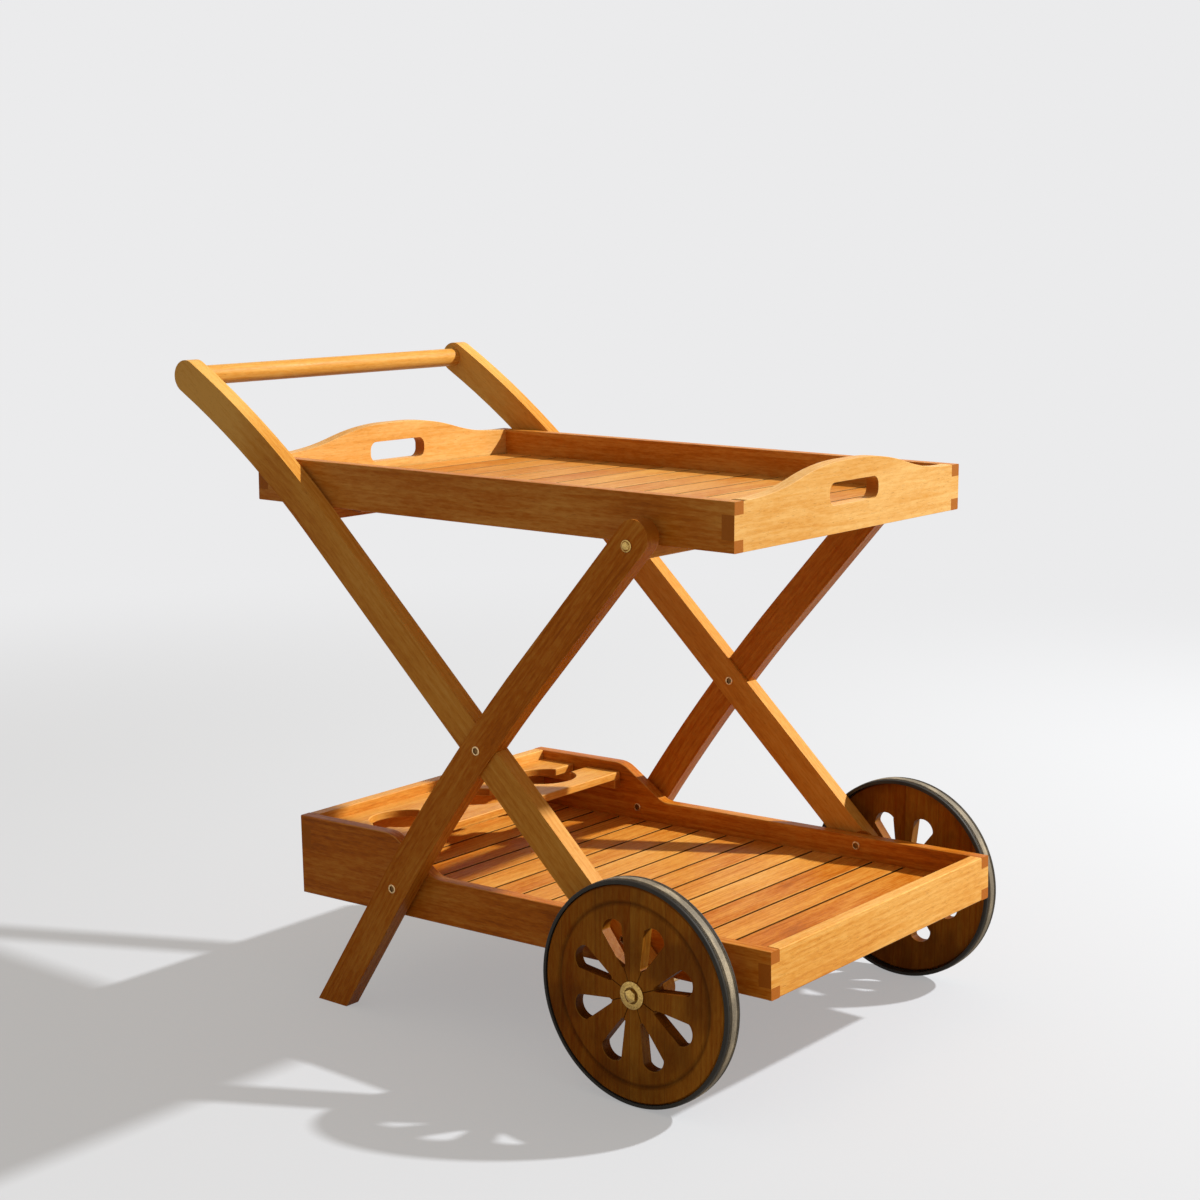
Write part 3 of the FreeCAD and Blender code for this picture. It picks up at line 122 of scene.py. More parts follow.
# Petals and ring groove of the wheel discs: reach from the axle and depth under the outer face, and
# the strength of the painted shade in the groove.
PETAL_INNER, PETAL_OUTER, PETAL_ROUND = 0.0335, 0.0855, 0.7
GROOVE_TOP, GROOVE_BOTTOM, GROOVE_REACH, GROOVE_SHADE = 0.0008, 0.0024, 0.115, 0.5

# Tyre from its side to the middle of the tread: depth under the tread, half-width share, dust and
# painted sheen.
TYRE_SECTION = (
    (0.005, -1.0, 0), (0.0026, -1.0, 0), (0.0013, -0.965, 0), (0.0007, -0.88, 0.05),
    (0.0004, -0.74, 0.1), (0.0012, -0.69, 0), (0.0003, -0.64, 0.5), (0.0003, -0.61, 0.5),
    (0.0012, -0.56, 0), (0.0002, -0.51, 0.5), (0.0002, -0.48, 0.5), (0.0012, -0.43, 0),
    (0.0001, -0.37, 0.8), (0, -0.2, 1), (0, 0.0, 1),
)

# Turned hardware as rings of (radius, y) about Y; HEX marks a ring with six flats at that radius.
HEX = "hex"
# From SOCKET_RING on, a bolt's socket gets painted shade.
BOLT_TALL, BOLT_HEAD, BOLT_SOCKET, SOCKET_RING = 0.0016, 0.0053, 0.0034, 10
BOLT_THREAD, SLEEVE_THREAD = 0.003, 0.004
RAIL_BOLT_TALL = 0.005
RAIL_BOLT_HEAD = (
    (0.003, 0), (0.007, 0), (0.007, -0.0011), (0.0066, -0.0018), (0.0059, -0.0022),
    (0.0054, -0.0021), (0.0051, -0.0015), (0.0048, -0.0022), (0.0041, -0.0035),
    (0.0029, -0.0044), (0.0015, -0.0049), (0, -RAIL_BOLT_TALL),
)
# From HUB_RECESS on, the middle of a hub disc round its nut gets painted shade.
HUB_BORE, HUB_RADIUS, HUB_STEPS, HUB_RECESS = 0.0052, 0.0155, 48, 5
HUB_FACE = (
    (HUB_RADIUS, 0.0008), (0.0152, 0.0003), (0.0146, 0.0), (0.0092, 0.0),
    (0.0088, 0.0003), (0.0084, 0.0), (HUB_BORE, 0.0),
)
DOMED_NUT = (
    (0, 0), (0.0065, 0, HEX), (0.0065, -0.0027, HEX), (0.0062, -0.003), (0.0058, -0.0032),
    (0.0049, -0.0039), (0.0036, -0.0047), (0.002, -0.0053), (0.0009, -0.00545), (0, -0.0055),
)
AXLE_THREAD, AXLE_RADIUS, AXLE_STEP = 0.004, 0.005, 0.2808
SPACER_RADIUS, SPACER_EASE = 0.011, 0.0004

# Stage: light in the frame's axes, camera as fitted to the view.
KEY_AWAY, KEY_DISTANCE, KEY_AIM = (0.49, 0.61, 0.60), 7.0, (0, 0, 0.35)
KEY_COLOUR = (1.0, 0.985, 0.95)
FILL_COLOUR = (1.0, 0.85, 0.66, 1)
FLOOR_RADIUS, FLOOR_STEPS, FLOOR_LEVEL = 40.0, 96, -0.0002
FLOOR_FADE = (1.3, 3.2, 0.42, 1.0)
FLOOR_BOUNCE, FLOOR_SHOWN = (0.44, 0.38, 0.3), (0.72, 0.76, 0.82)
CAMERA_YAW, CAMERA_PITCH = 38.803, 9.857
CAMERA_PLACE, CAMERA_SENSOR = (1.67655, -2.0499, 0.9395), 36.0


def paint(red, green, blue):
    """Linear colour from the 0-255 values of a colour swatch."""
    return tuple(
        c / 12.92 if c <= 0.04045 else ((c + 0.055) / 1.055) ** 2.4
        for c in (red / 255, green / 255, blue / 255)
    )


def swatch(name, description, *rgb):
    """A colour that the user can change."""
    colour = paint(*rgb)
    return FloatVectorProperty(
        name=name, description=description, subtype="COLOR", size=3, min=0, max=1, default=colour
    )


def length(name, description, default):
    """A length that the user can change."""
    return FloatProperty(
        name=name, description=description, default=default, min=0, unit="LENGTH", precision=5
    )


class CartWood(bpy.types.PropertyGroup):
    """Tones of the oiled boards and how far their edges are rounded."""

    pale: swatch("Pale tone", "Lightest streaks of the oiled boards", 240, 195, 122)
    honey: swatch("Honey tone", "Main tone of the oiled boards", 220, 159, 76)
    brown: swatch("Brown tone", "Darker streaks of the oiled boards", 190, 110, 22)
    dark: swatch("Dark tone", "Late wood, pores and knots", 122, 60, 10)
    leg_round: length("Leg rounding", "Radius on the long edges of the legs", 0.0022)
    board_round: length("Board rounding", "Radius on the edges of tray and shelf boards", 0.0014)
    slat_round: length("Slat rounding", "Radius on the edges of the floor slats", 0.0008)
    ring_width: length("Ring width", "Spacing of the growth rings", 0.0062)
    plank_width: length("Wheel plank", "Width of the planks in the wheels", 0.047)


class CartMetal(bpy.types.PropertyGroup):
    """Colours of the tyres and the hardware."""

    brass: swatch("Brass", "Polished brass of hub discs, nuts and rail bolts", 206, 170, 98)
    tarnish: swatch("Tarnish", "Dull spots on the brass", 146, 114, 60)
    steel: swatch("Steel", "Plated steel of bolts and axle", 226, 190, 138)
    rubber: swatch("Rubber", "Clean rubber of the tyres", 32, 31, 30)
    # The dust swatch is also painted sheen, for the bright tread where light catches it.
    dust_and_sheen: swatch("Dust", "Dust on the tread", 196, 182, 156)
    turns: IntProperty(
        name="Tyre sections", description="Sections round each tyre", default=120, min=24
    )


class CartStage(bpy.types.PropertyGroup):
    """Floor, light and camera."""

    floor: swatch("Floor", "Colour of floor and backdrop", 235, 235, 236)
    key: FloatProperty(
        name="Key light", description="Share of a white card's light from the key", default=1.57
    )
    fill: FloatProperty(
        name="Fill light", description="Share of a white card's light from all round", default=0.37
    )
    key_size: length("Key size", "Width of the key light", 0.25)
    lens: FloatProperty(
        name="Lens", description="Focal length on a 36 mm sensor", default=66.56, unit="CAMERA"
    )


class Nodes:
    """Short ways to add nodes to a tree."""

    def __init__(self, tree):
        self.tree = tree
        tree.nodes.clear()

    def add(self, kind, inputs=None, **settings):
        made = self.tree.nodes.new(kind)
        for key, value in settings.items():
            setattr(made, key, value)
        for key, value in (inputs or {}).items():
            if isinstance(value, bpy.types.NodeSocket):
                self.tree.links.new(value, made.inputs[key])
            else:
                made.inputs[key].default_value = value
        return made

    def calc(self, operation, a, b=0.0, c=0.0, clamp=False):
        values = {0: a, 1: b, 2: c}
        made = self.add("ShaderNodeMath", values, operation=operation, use_clamp=clamp)
        return made.outputs[0]

    def shown(self):
        """1 for the camera and for reflections, 0 for light that falls on the cart."""
        path = self.add("ShaderNodeLightPath").outputs
        mirrored = self.calc("MAXIMUM", path["Is Glossy Ray"], path["Is Transmission Ray"])
        return self.calc("MAXIMUM", path["Is Camera Ray"], mirrored)


class Finish(Nodes):
    """A material and short ways to build it."""

    def __init__(self, name):
        self.material = bpy.data.materials.new(name)
        self.material.use_nodes = True
        super().__init__(self.material.node_tree)

    def attribute(self, name, output):
        return self.add("ShaderNodeAttribute", attribute_name=name).outputs[output]

    def stretched(self, vector, x, y, z):
        values = {0: vector, 1: (x, y, z)}
        return self.add("ShaderNodeVectorMath", values, operation="MULTIPLY").outputs[0]

    def noise(self, vector, phase, detail=3.0, rough=0.55, scale=1.0):
        values = {"Vector": vector, "W": phase, "Scale": scale}
        values |= {"Detail": detail, "Roughness": rough}
        return self.add("ShaderNodeTexNoise", values, noise_dimensions="4D").outputs["Fac"]

    def span(self, value, low, high, start=0.0, end=1.0):
        values = {0: value, 1: low, 2: high, 3: start, 4: end}
        return self.add("ShaderNodeMapRange", values, interpolation_type="SMOOTHSTEP").outputs[0]

    def ramp(self, value, stops):
        made = self.add("ShaderNodeValToRGB", {0: value})
        elements = made.color_ramp.elements
        while len(elements) < len(stops):
            elements.new(0.5)
        for element, (place, colour) in zip(elements, stops):
            element.position = place
            element.color = opaque(colour)
        return made.outputs[0]

    def mixed(self, amount, a, b, blend="MIX"):
        values = {0: amount, 6: a, 7: b}
        return self.add("ShaderNodeMix", values, data_type="RGBA", blend_type=blend).outputs[2]

    def bumped(self, height, strength, distance):
        values = {"Height": height, "Strength": strength, "Distance": distance}
        return self.add("ShaderNodeBump", values).outputs[0]

    def close(self, **shader_inputs):
        names = {key.replace("_", " "): value for key, value in shader_inputs.items()}
        shader = self.add("ShaderNodeBsdfPrincipled", names)
        self.add("ShaderNodeOutputMaterial", {"Surface": shader.outputs[0]})
        return self.material


def opaque(colour):
    """A colour with its opacity."""
    return (*colour, 1)


def shaded(colour, parts):
    """A colour with each of its channels scaled."""
    return tuple(c * part for c, part in zip(colour, parts))


def oiled_wood(
    name, wood, deeper=1.0, redder=0.0, lively=1.0, shine=0.12, planks=False, painted_light_from=None
):
    """Hardwood with growth rings, streaks, pores, darker end grain, painted shade in gaps and
    grooves, and pale edges that are both wear and painted highlight.

    Planks splits it into glued strips with slow stains.
    The last is the place along a board from which the wood is painted paler, as painted light up
    towards the push bar.
    """
    finish = Finish(name)
    calc, span, mixed = finish.calc, finish.span, finish.mixed
    grain = finish.attribute("grain", "Vector")
    board = finish.attribute("board", "Vector")
    seed, tone, figure = finish.add("ShaderNodeSeparateXYZ", {0: board}).outputs
    along, across, through = finish.add("ShaderNodeSeparateXYZ", {0: grain}).outputs
    phase = calc("MULTIPLY", seed, SEED_SPREAD)

    def drawn(part, detail, rough=0.55):
        return finish.noise(finish.stretched(grain, *FIGURE[part]), phase, detail, rough)

    seam = stain = None
    if planks:
        stain = span(drawn("stain", 3.0), 0.42, 0.62, 0.0, 0.75)
        strip = calc("DIVIDE", across, wood.plank_width)
        strip = calc("ADD", strip, calc("MULTIPLY", seed, 9.0))
        number = {"W": calc("FLOOR", strip)}
        chance = finish.add("ShaderNodeTexWhiteNoise", number, noise_dimensions="1D")
        lots = finish.add("ShaderNodeSeparateColor", {0: chance.outputs["Color"]})
        seed, tone, figure = lots.outputs[:3]
        off = calc("ABSOLUTE", calc("SUBTRACT", calc("FRACT", strip), 0.5))
        seam = span(off, 0.488, 0.496)
        phase = calc("MULTIPLY", seed, SEED_SPREAD)

    aside = calc("ADD", across, calc("MULTIPLY_ADD", figure, 0.15, -0.075))
    below = calc("ADD", through, calc("MULTIPLY_ADD", seed, 0.08, 0.025))
    square = calc("ADD", calc("POWER", aside, 2.0), calc("POWER", below, 2.0))
    radius = calc("ADD", calc("SQRT", square), calc("MULTIPLY", drawn("warp", 2.5), 0.034))
    part_ring = calc("FRACT", calc("DIVIDE", radius, wood.ring_width))
    early = span(part_ring, 0.0, LATE_WOOD)
    late = span(part_ring, LATE_WOOD, 1.0, 1.0, 0.0)
    streak = span(drawn("streak", 4.0, 0.6), 0.32, 0.7)
    fibre = drawn("fibre", 2.0)
    blotch = span(drawn("blotch", 2.0), 0.28, 0.72)
    pore = span(drawn("pore", 1.0), 0.6, 0.72)
    fleck = span(drawn("fleck", 2.0), 0.3, 0.7)
    end = finish.attribute("endgrain", "Fac")

    depth = calc("MULTIPLY", calc("MINIMUM", early, late), RING_DEPTH)
    parts = [(STREAK_DEPTH, streak), (FLECK_DEPTH, fleck), (FIBRE_DEPTH, fibre)]
    for share, part in parts + [(BLOTCH_DEPTH, blotch), (TONE_DEPTH, tone)]:
        depth = calc("MULTIPLY_ADD", part, share, depth)
    depth = calc("MULTIPLY_ADD", depth, lively, 0.5 * (1 - lively), clamp=True)
    # Painted light: the wood grows paler along the board past a given place.
    if painted_light_from is not None:
        painted_light = span(along, painted_light_from, painted_light_from + PAINTED_LIGHT_RUN)
        depth = calc("MULTIPLY_ADD", painted_light, PAINTED_LIGHT_DEPTH, depth, clamp=True)
    depth = finish.add("ShaderNodeMix", {0: end, 2: depth, 3: END_DEPTH}).outputs[0]

    tint = (deeper, deeper * (1 - redder), deeper * (1 - 4 * redder))
    stops = ((0.05, wood.pale), (0.38, wood.honey), (0.68, wood.brown), (1.0, wood.dark))
    colour = finish.ramp(depth, [(place, shaded(stop, tint)) for place, stop in stops])
    dark, pale = opaque(shaded(wood.dark, tint)), opaque(shaded(wood.pale, tint))
    colour = mixed(calc("MULTIPLY", pore, 0.3), colour, dark)
    colour = mixed(calc("MULTIPLY", end, 0.85), colour, SHADE_END, "MULTIPLY")
    # Painted shade: slat sides in the floor gaps and the wheels' ring grooves are darkened.
    grime = calc("MAXIMUM", finish.attribute("grime", "Fac"), finish.attribute("soil", "Fac"))
    colour = mixed(grime, colour, PAINTED_SHADE_COLOUR, "MULTIPLY")
    if stain is not None:
        colour = mixed(stain, colour, SHADE_STAIN, "MULTIPLY")
    # Pale edges: wear, and painted highlight where light catches the rounding.
    edge = finish.attribute("edge", "Fac")
    worn_and_lit_edge = calc("MULTIPLY", edge, span(blotch, 0.0, 1.0, 0.25, 0.6))
    colour = mixed(worn_and_lit_edge, colour, pale)
    if seam is not None:
        colour = mixed(calc("MULTIPLY", seam, 0.4), colour, dark)

    rough = calc("MULTIPLY_ADD", streak, 0.12, 0.36)
    rough = calc("MULTIPLY_ADD", pore, 0.2, rough)
    rough = calc("MULTIPLY_ADD", end, 0.15, rough)
    height = calc("MULTIPLY_ADD", streak, 0.5, calc("MULTIPLY", fibre, 0.4))
    height = calc("MULTIPLY_ADD", pore, -0.8, height)
    return finish.close(
        Base_Color=colour,
        Roughness=rough,
        Normal=finish.bumped(height, 0.22, 0.0006),
        Specular_IOR_Level=shine,
    )


def tyre_rubber(metal):
    """Dark rubber with dust in patches, which is also painted sheen where light catches the tread,
    and a fine moulded skin.
    """
    finish = Finish("tyre_rubber_finish")
    calc, span = finish.calc, finish.span
    place = finish.add("ShaderNodeTexCoord").outputs["Object"]
    patch = span(finish.noise(finish.stretched(place, 26, 60, 26), 3.0, 4.0, 0.62), 0.42, 0.75)
    speck = finish.noise(finish.stretched(place, 900, 900, 900), 1.0, 2.0)
    tread = span(finish.attribute("tread", "Fac"), 0.0, 1.0, 0.06, 1.0)
    dust_and_sheen = calc("MULTIPLY", calc("MULTIPLY_ADD", patch, 0.6, 0.4), tread)
    dust_and_sheen = calc("MULTIPLY", dust_and_sheen, span(speck, 0.3, 0.7, 0.55, 0.95))
    return finish.close(
        Base_Color=finish.mixed(dust_and_sheen, opaque(metal.rubber), opaque(metal.dust_and_sheen)),
        Roughness=calc("MULTIPLY_ADD", dust_and_sheen, 0.25, 0.6),
        Normal=finish.bumped(speck, 0.25, 0.0004),
        Specular_IOR_Level=0.25,
    )


def bright_metal(name, clean, dull, spots, smoothness):
    """Satin metal with dull specks and painted shade in its recesses."""
    finish = Finish(name)
    place = finish.add("ShaderNodeTexCoord").outputs["Object"]
    speck = finish.span(finish.noise(place, 2.0, 3.0, 0.6, spots), 0.42, 0.66)
    patch = finish.noise(place, 5.0, 2.0, 0.5, 120.0)
    dulled = finish.calc("MULTIPLY", speck, finish.span(patch, 0.3, 0.7, 0.35, 0.95))
    colour = finish.mixed(dulled, opaque(clean), opaque(dull))
    # Painted shade in the sockets of the bolts and the middle of the hub discs.
    recess = finish.attribute("grime", "Fac")
    return finish.close(
        Base_Color=finish.mixed(recess, colour, PAINTED_RECESS_SHADE, "MULTIPLY"),
        Metallic=1.0,
        Roughness=finish.calc("MULTIPLY_ADD", dulled, 0.25, smoothness),
        Normal=finish.bumped(speck, 0.12, 0.0003),
    )


def finishes():
    """The cart's materials, made once and then found by name."""
    wood = bpy.context.scene.cart_wood
    metal = bpy.context.scene.cart_metal
    made = bpy.data.materials
    if "steel_finish" not in made:
        for slot, look in WOODS.items():
            oiled_wood(slot + "_finish", wood, **look)
        tyre_rubber(metal)
        bright_metal("brass_finish", metal.brass, metal.tarnish, 420.0, 0.2)
        dull = shaded(metal.steel, (0.55, 0.55, 0.55))
        bright_metal("steel_finish", metal.steel, dull, 500.0, 0.3)
    return {slot: made[slot + "_finish"] for slot in (*WOODS, "tyre_rubber", "brass", "steel")}


def blank(node):
    """The node's solid with its corners merged and its flat triangles joined."""
    bm = bmesh.new()
    bm.from_mesh(NODES[node].data)
    bmesh.ops.remove_doubles(bm, verts=bm.verts, dist=1e-5)
    flat = math.radians(0.6)
    bmesh.ops.dissolve_limit(bm, angle_limit=flat, verts=bm.verts, edges=bm.edges)
    return bm


def islands(bm):
    """Lists of the vertices of each separate solid."""
    left = set(bm.verts)
    groups = []
    for start in bm.verts:
        if start not in left:
            continue
        left.discard(start)
        group = [start]
        for vert in group:
            for edge in vert.link_edges:
                other = edge.other_vert(vert)
                if other in left:
                    left.discard(other)
                    group.append(other)
        groups.append(group)
    return groups


def boxes(node):
    """Lowest and highest corner of each separate solid of a node."""
    bm = blank(node)
    found = []
    for group in islands(bm):
        low = Vector(min(v.co[i] for v in group) for i in range(3))
        high = Vector(max(v.co[i] for v in group) for i in range(3))
        found.append((low, high))
    bm.free()
    return sorted(found, key=lambda box: tuple(box[0]))


def ease(bm, radius, skip=None, shortest=0.0012):
    """Rounds the outward edges and marks the ridge of each rounding for wear and painted highlight.
    """
    sharp = math.radians(35)
    edges = []
    for edge in bm.edges:
        if len(edge.link_faces) != 2 or edge.calc_length() < shortest:
            continue
        if edge.calc_face_angle_signed() < sharp:
            continue
        if skip and skip((edge.verts[0].co + edge.verts[1].co) / 2, edge):
            continue
        edges.append(edge)
    shape = {"offset": radius, "offset_type": "OFFSET", "segments": 2, "profile": 0.5}
    made = bmesh.ops.bevel(
        bm, geom=edges, affect="EDGES", clamp_overlap=True, loop_slide=True, **shape
    )
    rounded = set(made["faces"])
    wear_and_highlight = bm.verts.layers.float.new("edge")
    for vert in bm.verts:
        if vert.link_faces and all(face in rounded for face in vert.link_faces):
            vert[wear_and_highlight] = 1.0


def draw_grain(bm, name, measure, painted_shade_of=None, tone=None, soil=None):
    """Writes where each point lies in its board, a draw for each separate board, and its painted
    shade in slat gaps and ring grooves.
    """
    grain = bm.verts.layers.float_vector.new("grain")
    board = bm.verts.layers.float_vector.new("board")
    end = bm.faces.layers.float.new("endgrain")
    grime = bm.faces.layers.float.new("grime")
    groove_shade_layer = bm.verts.layers.float.new("soil")
    for number, group in enumerate(islands(bm)):
        draw = random.Random("%s %d" % (name, number))
        lot = Vector((draw.random(), draw.random(), draw.random()))
        if tone is not None:
            lot.y = tone + TONE_SPREAD * (lot.y - 0.5)
        for vert in group:
            vert[grain] = measure(vert.co)[0]
            vert[board] = lot
            if soil:
                vert[groove_shade_layer] = soil(vert.co)
    bm.normal_update()
    for face in bm.faces:
        along = measure(face.calc_center_median())[1]
        face[end] = min(1.0, max(0.0, abs(face.normal.dot(along)) * 1.6 - 0.6))
        face[grime] = painted_shade_of(face) if painted_shade_of else 0.0


def straight(origin, along, up):
    """Grain of a straight board: along, across and through, and the grain's direction."""
    along = Vector(along).normalized()
    up = Vector(up).normalized()
    across = up.cross(along)
    origin = Vector(origin)

    def measure(co):
        at = co - origin
        return Vector((at.dot(along), at.dot(across), at.dot(up))), along

    return measure


def bent(path, side):
    """Grain of a leg that follows a line of points in the XZ plane and runs on past its ends."""
    points = [Vector((x, side, z)) for x, z in path]

    def measure(co):
        best = None
        run = 0.0
        for a, b in zip(points, points[1:]):
            step = b - a
            share = (co - a).dot(step) / step.length_squared
            if a is not points[0]:
                share = max(share, 0.0)
            if b is not points[-1]:
                share = min(share, 1.0)
            away = co - (a + step * share)
            away.y = 0
            if best is None or away.length < best[0]:
                along = step.normalized()
                across = Vector((-along.z, 0, along.x))
                best = (away.length, run + step.length * share, (co - a).dot(across), along)
            run += step.length
        return Vector((best[1], best[2], co.y - side)), best[3]

    return measure


def near_centre_line(measure):
    """Picks out a leg's edges near its centre line: its holes, its halving and its ends."""
    return lambda mid, _edge: abs(measure(mid)[0].y) < LEG_CORE


def beyond(reach):
    """Picks out edges that lie further than this to either side of the cart's middle."""
    return lambda mid, _edge: abs(mid.y) > reach


def at_corners(rear, front):
    """Picks out a side board's edges in its corner joints at the rear and at the front."""
    return lambda mid, _edge: mid.x < rear or mid.x > front


def not_petals(centre):
    """Picks out all edges of a wheel disc but the rims of its petals."""

    def skip(_mid, edge):
        reach = [math.hypot(v.co.x - centre.x, v.co.z - centre.z) for v in edge.verts]
        flat = abs(edge.verts[0].co.y - edge.verts[1].co.y) < 1e-5
        return not flat or min(reach) < PETAL_INNER or max(reach) > PETAL_OUTER

    return skip


def groove_painted_shade(node, sign):
    """Painted shade in the ring groove on a wheel disc's outer face."""
    low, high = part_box(node)
    centre = (low + high) / 2
    half = (high.y - low.y) / 2

    def soil(co):
        deep = half - sign * (co.y - centre.y)
        reach = math.hypot(co.x - centre.x, co.z - centre.z)
        inside = GROOVE_TOP < deep < GROOVE_BOTTOM and reach < GROOVE_REACH
        return GROOVE_SHADE if inside else 0.0

    return soil


def slat_gap_shade(face):
    """Painted shade on the sides of a slat, down in the gaps of the floor."""
    return 1.0 if abs(face.normal.x) > 0.8 else 0.0


def shade(obj, angle):
    """Smooth shading that stays sharp at edges past an angle."""
    for face in obj.data.polygons:
        face.use_smooth = True
    obj.data.set_sharp_from_angle(angle=math.radians(angle))


def smooth(obj, angle=38):
    """Smooth shading that keeps flat faces flat, baked into the mesh."""
    shade(obj, angle)
    weights = obj.modifiers.new("even_normals", "WEIGHTED_NORMAL")
    weights.keep_sharp = True
    return settle(obj)


def settle(obj):
    """Turns the object's modifiers into a plain mesh."""
    bpy.context.view_layer.update()
    shape = obj.evaluated_get(bpy.context.evaluated_depsgraph_get())
    mesh = bpy.data.meshes.new_from_object(shape)
    obj.modifiers.clear()
    old = obj.data
    obj.data = mesh
    bpy.data.meshes.remove(old)
    mesh.name = obj.name
    return obj


def in_scene(name, data):
    """A new object in the scene."""
    obj = bpy.data.objects.new(name, data)
    bpy.context.scene.collection.objects.link(obj)
    return obj


def to_object(bm, name):
    """Turns a worked mesh into an object."""
    mesh = bpy.data.meshes.new(name)
    bm.to_mesh(mesh)
    bm.free()
    return in_scene(name, mesh)


def hand_over(obj, slot, body, *nodes):
    """Gives a finished piece its material, its body and the CAD nodes that it stands for."""
    obj.data.materials.clear()
    obj.data.materials.append(finishes()[slot])
    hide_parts(*nodes)
    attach(obj, body)


def dress_board(node, slot, body, radius, measure, skip=None, tone=None, soil=None):
    """Eases a board's edges, draws its grain and hands it over."""
    bm = blank(node)
    ease(bm, radius, skip)
    draw_grain(bm, node, measure, None, tone, soil)
    hand_over(smooth(to_object(bm, node + "_oiled")), slot, body, node)


def middle(node):
    """Centre of a node's box."""
    low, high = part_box(node)
    return (low + high) / 2


def shelf_slope():
    """Direction along the sloping shelf, from its first slat to its last."""
    run = middle(SHELF_SLATS[-1]) - middle(SHELF_SLATS[0])
    return run.normalized()


def handle_path():
    """Centre line of a handle leg from the axle to the push bar."""
    axle = middle("axle")
    bar = middle("handle_bar")
    lean = math.radians(HANDLE_LEAN)
    run, rise = HANDLE_STRAIGHT * math.cos(lean), HANDLE_STRAIGHT * math.sin(lean)
    bend = (axle.x - run, axle.z + rise)
    half = ((bend[0] + bar.x) / 2, (bend[1] + bar.z) / 2 + HANDLE_BULGE)
    return [(axle.x, axle.z), bend, half, (bar.x, bar.z)]


def foot_path():
    """Centre line of a foot leg from the floor, round its wide knee, to the tray rail."""
    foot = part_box("right_foot_leg")[0].x + FOOT_HALF_SOLE
    rail = middle("rail_bolts")
    run = KNEE_HEIGHT / math.tan(math.radians(FOOT_LEAN))
    knee = (foot + run, KNEE_HEIGHT)
    post = math.radians(POST_LEAN)
    points = [(foot, 0.0)]
    for share in (0.35, 0.7):
        points.append((foot + (knee[0] - foot) * share, knee[1] * share))
    points.append((knee[0] + KNEE_SHIFT[0], knee[1] + KNEE_SHIFT[1]))
    points.append((knee[0] + POST_RUN * math.cos(post), knee[1] + POST_RUN * math.sin(post)))
    points.append((rail.x, rail.z))
    return points


class Layout(Nodes):
    """A geometry tree with a Geometry input and output, the named inputs and a finish."""

    def __init__(self, name, **inputs):
        super().__init__(bpy.data.node_groups.new(name, "GeometryNodeTree"))
        self.socket("Geometry", "Geometry")
        for label, kind in inputs.items():
            self.socket(label, kind)
        self.socket("Finish", "Material")
        self.socket("Geometry", "Geometry", "OUTPUT")
        self.given = self.add("NodeGroupInput").outputs
        self.result = self.add("NodeGroupOutput").inputs

    def socket(self, label, kind, way="INPUT"):
        kind = "NodeSocket" + kind
        self.tree.interface.new_socket(name=label, in_out=way, socket_type=kind)

    def turn(self, axis, angle):
        """Rotation by an angle about one axis."""
        euler = self.add("ShaderNodeCombineXYZ", {axis: angle})
        return self.add("FunctionNodeEulerToRotation", {0: euler.outputs[0]}).outputs[0]

    def lay(self, points, piece, turn):
        """One piece on each point."""
        values = {"Points": points, "Instance": piece, "Rotation": turn}
        return self.add("GeometryNodeInstanceOnPoints", values).outputs[0]

    def whole(self, geometry):
        return self.add("GeometryNodeRealizeInstances", {"Geometry": geometry}).outputs[0]

    def end(self, geometry):
        values = {"Geometry": self.whole(geometry), "Material": self.given["Finish"]}
        dressed = self.add("GeometryNodeSetMaterial", values)
        self.tree.links.new(dressed.outputs[0], self.result[0])
        return self.tree


def run_tree(obj, tree, **values):
    """Runs a geometry tree on an object and keeps the result as its mesh."""
    modifier = obj.modifiers.new(tree.name, "NODES")
    modifier.node_group = tree
    for item in tree.interface.items_tree:
        if item.in_out == "INPUT" and item.name in values:
            modifier[item.identifier] = values[item.name]
    return settle(obj)


def slat_tree():
    """Lays a row of slats from one blank, each with its own draw for the grain."""
    row = Layout("slat_row", Count="Int", Start="Vector", Step="Vector", Slope="Float", Seed="Int")
    given = row.given
    values = {"Count": given["Count"], "Start Location": given["Start"], "Offset": given["Step"]}
    line = row.add("GeometryNodeMeshLine", values, mode="OFFSET")
    laid = row.lay(line.outputs[0], given["Geometry"], row.turn(1, given["Slope"]))
    chances = {0: (0, 0, 0), 1: (1, 1, 1), "Seed": given["Seed"]}
    lot = row.add("FunctionNodeRandomValue", chances, data_type="FLOAT_VECTOR")
    drawn = row.add(
        "GeometryNodeStoreNamedAttribute",
        {"Geometry": laid, "Name": "board", "Value": lot.outputs[0]},
        data_type="FLOAT_VECTOR",
        domain="INSTANCE",
    )
    return row.end(drawn.outputs[0])


def hardware_tree():
    """Sets one piece of hardware on each point, turned to face away from the cart."""
    row = Layout("hardware_row", Piece="Object")
    facing = row.add("GeometryNodeInputNamedAttribute", {"Name": "facing"}, data_type="FLOAT")
    turn = row.turn(2, row.calc("MULTIPLY", facing.outputs[0], math.pi))
    piece = row.add("GeometryNodeObjectInfo", {"Object": row.given["Piece"], "As Instance": True})
    return row.end(row.lay(row.given["Geometry"], piece.outputs["Geometry"], turn))


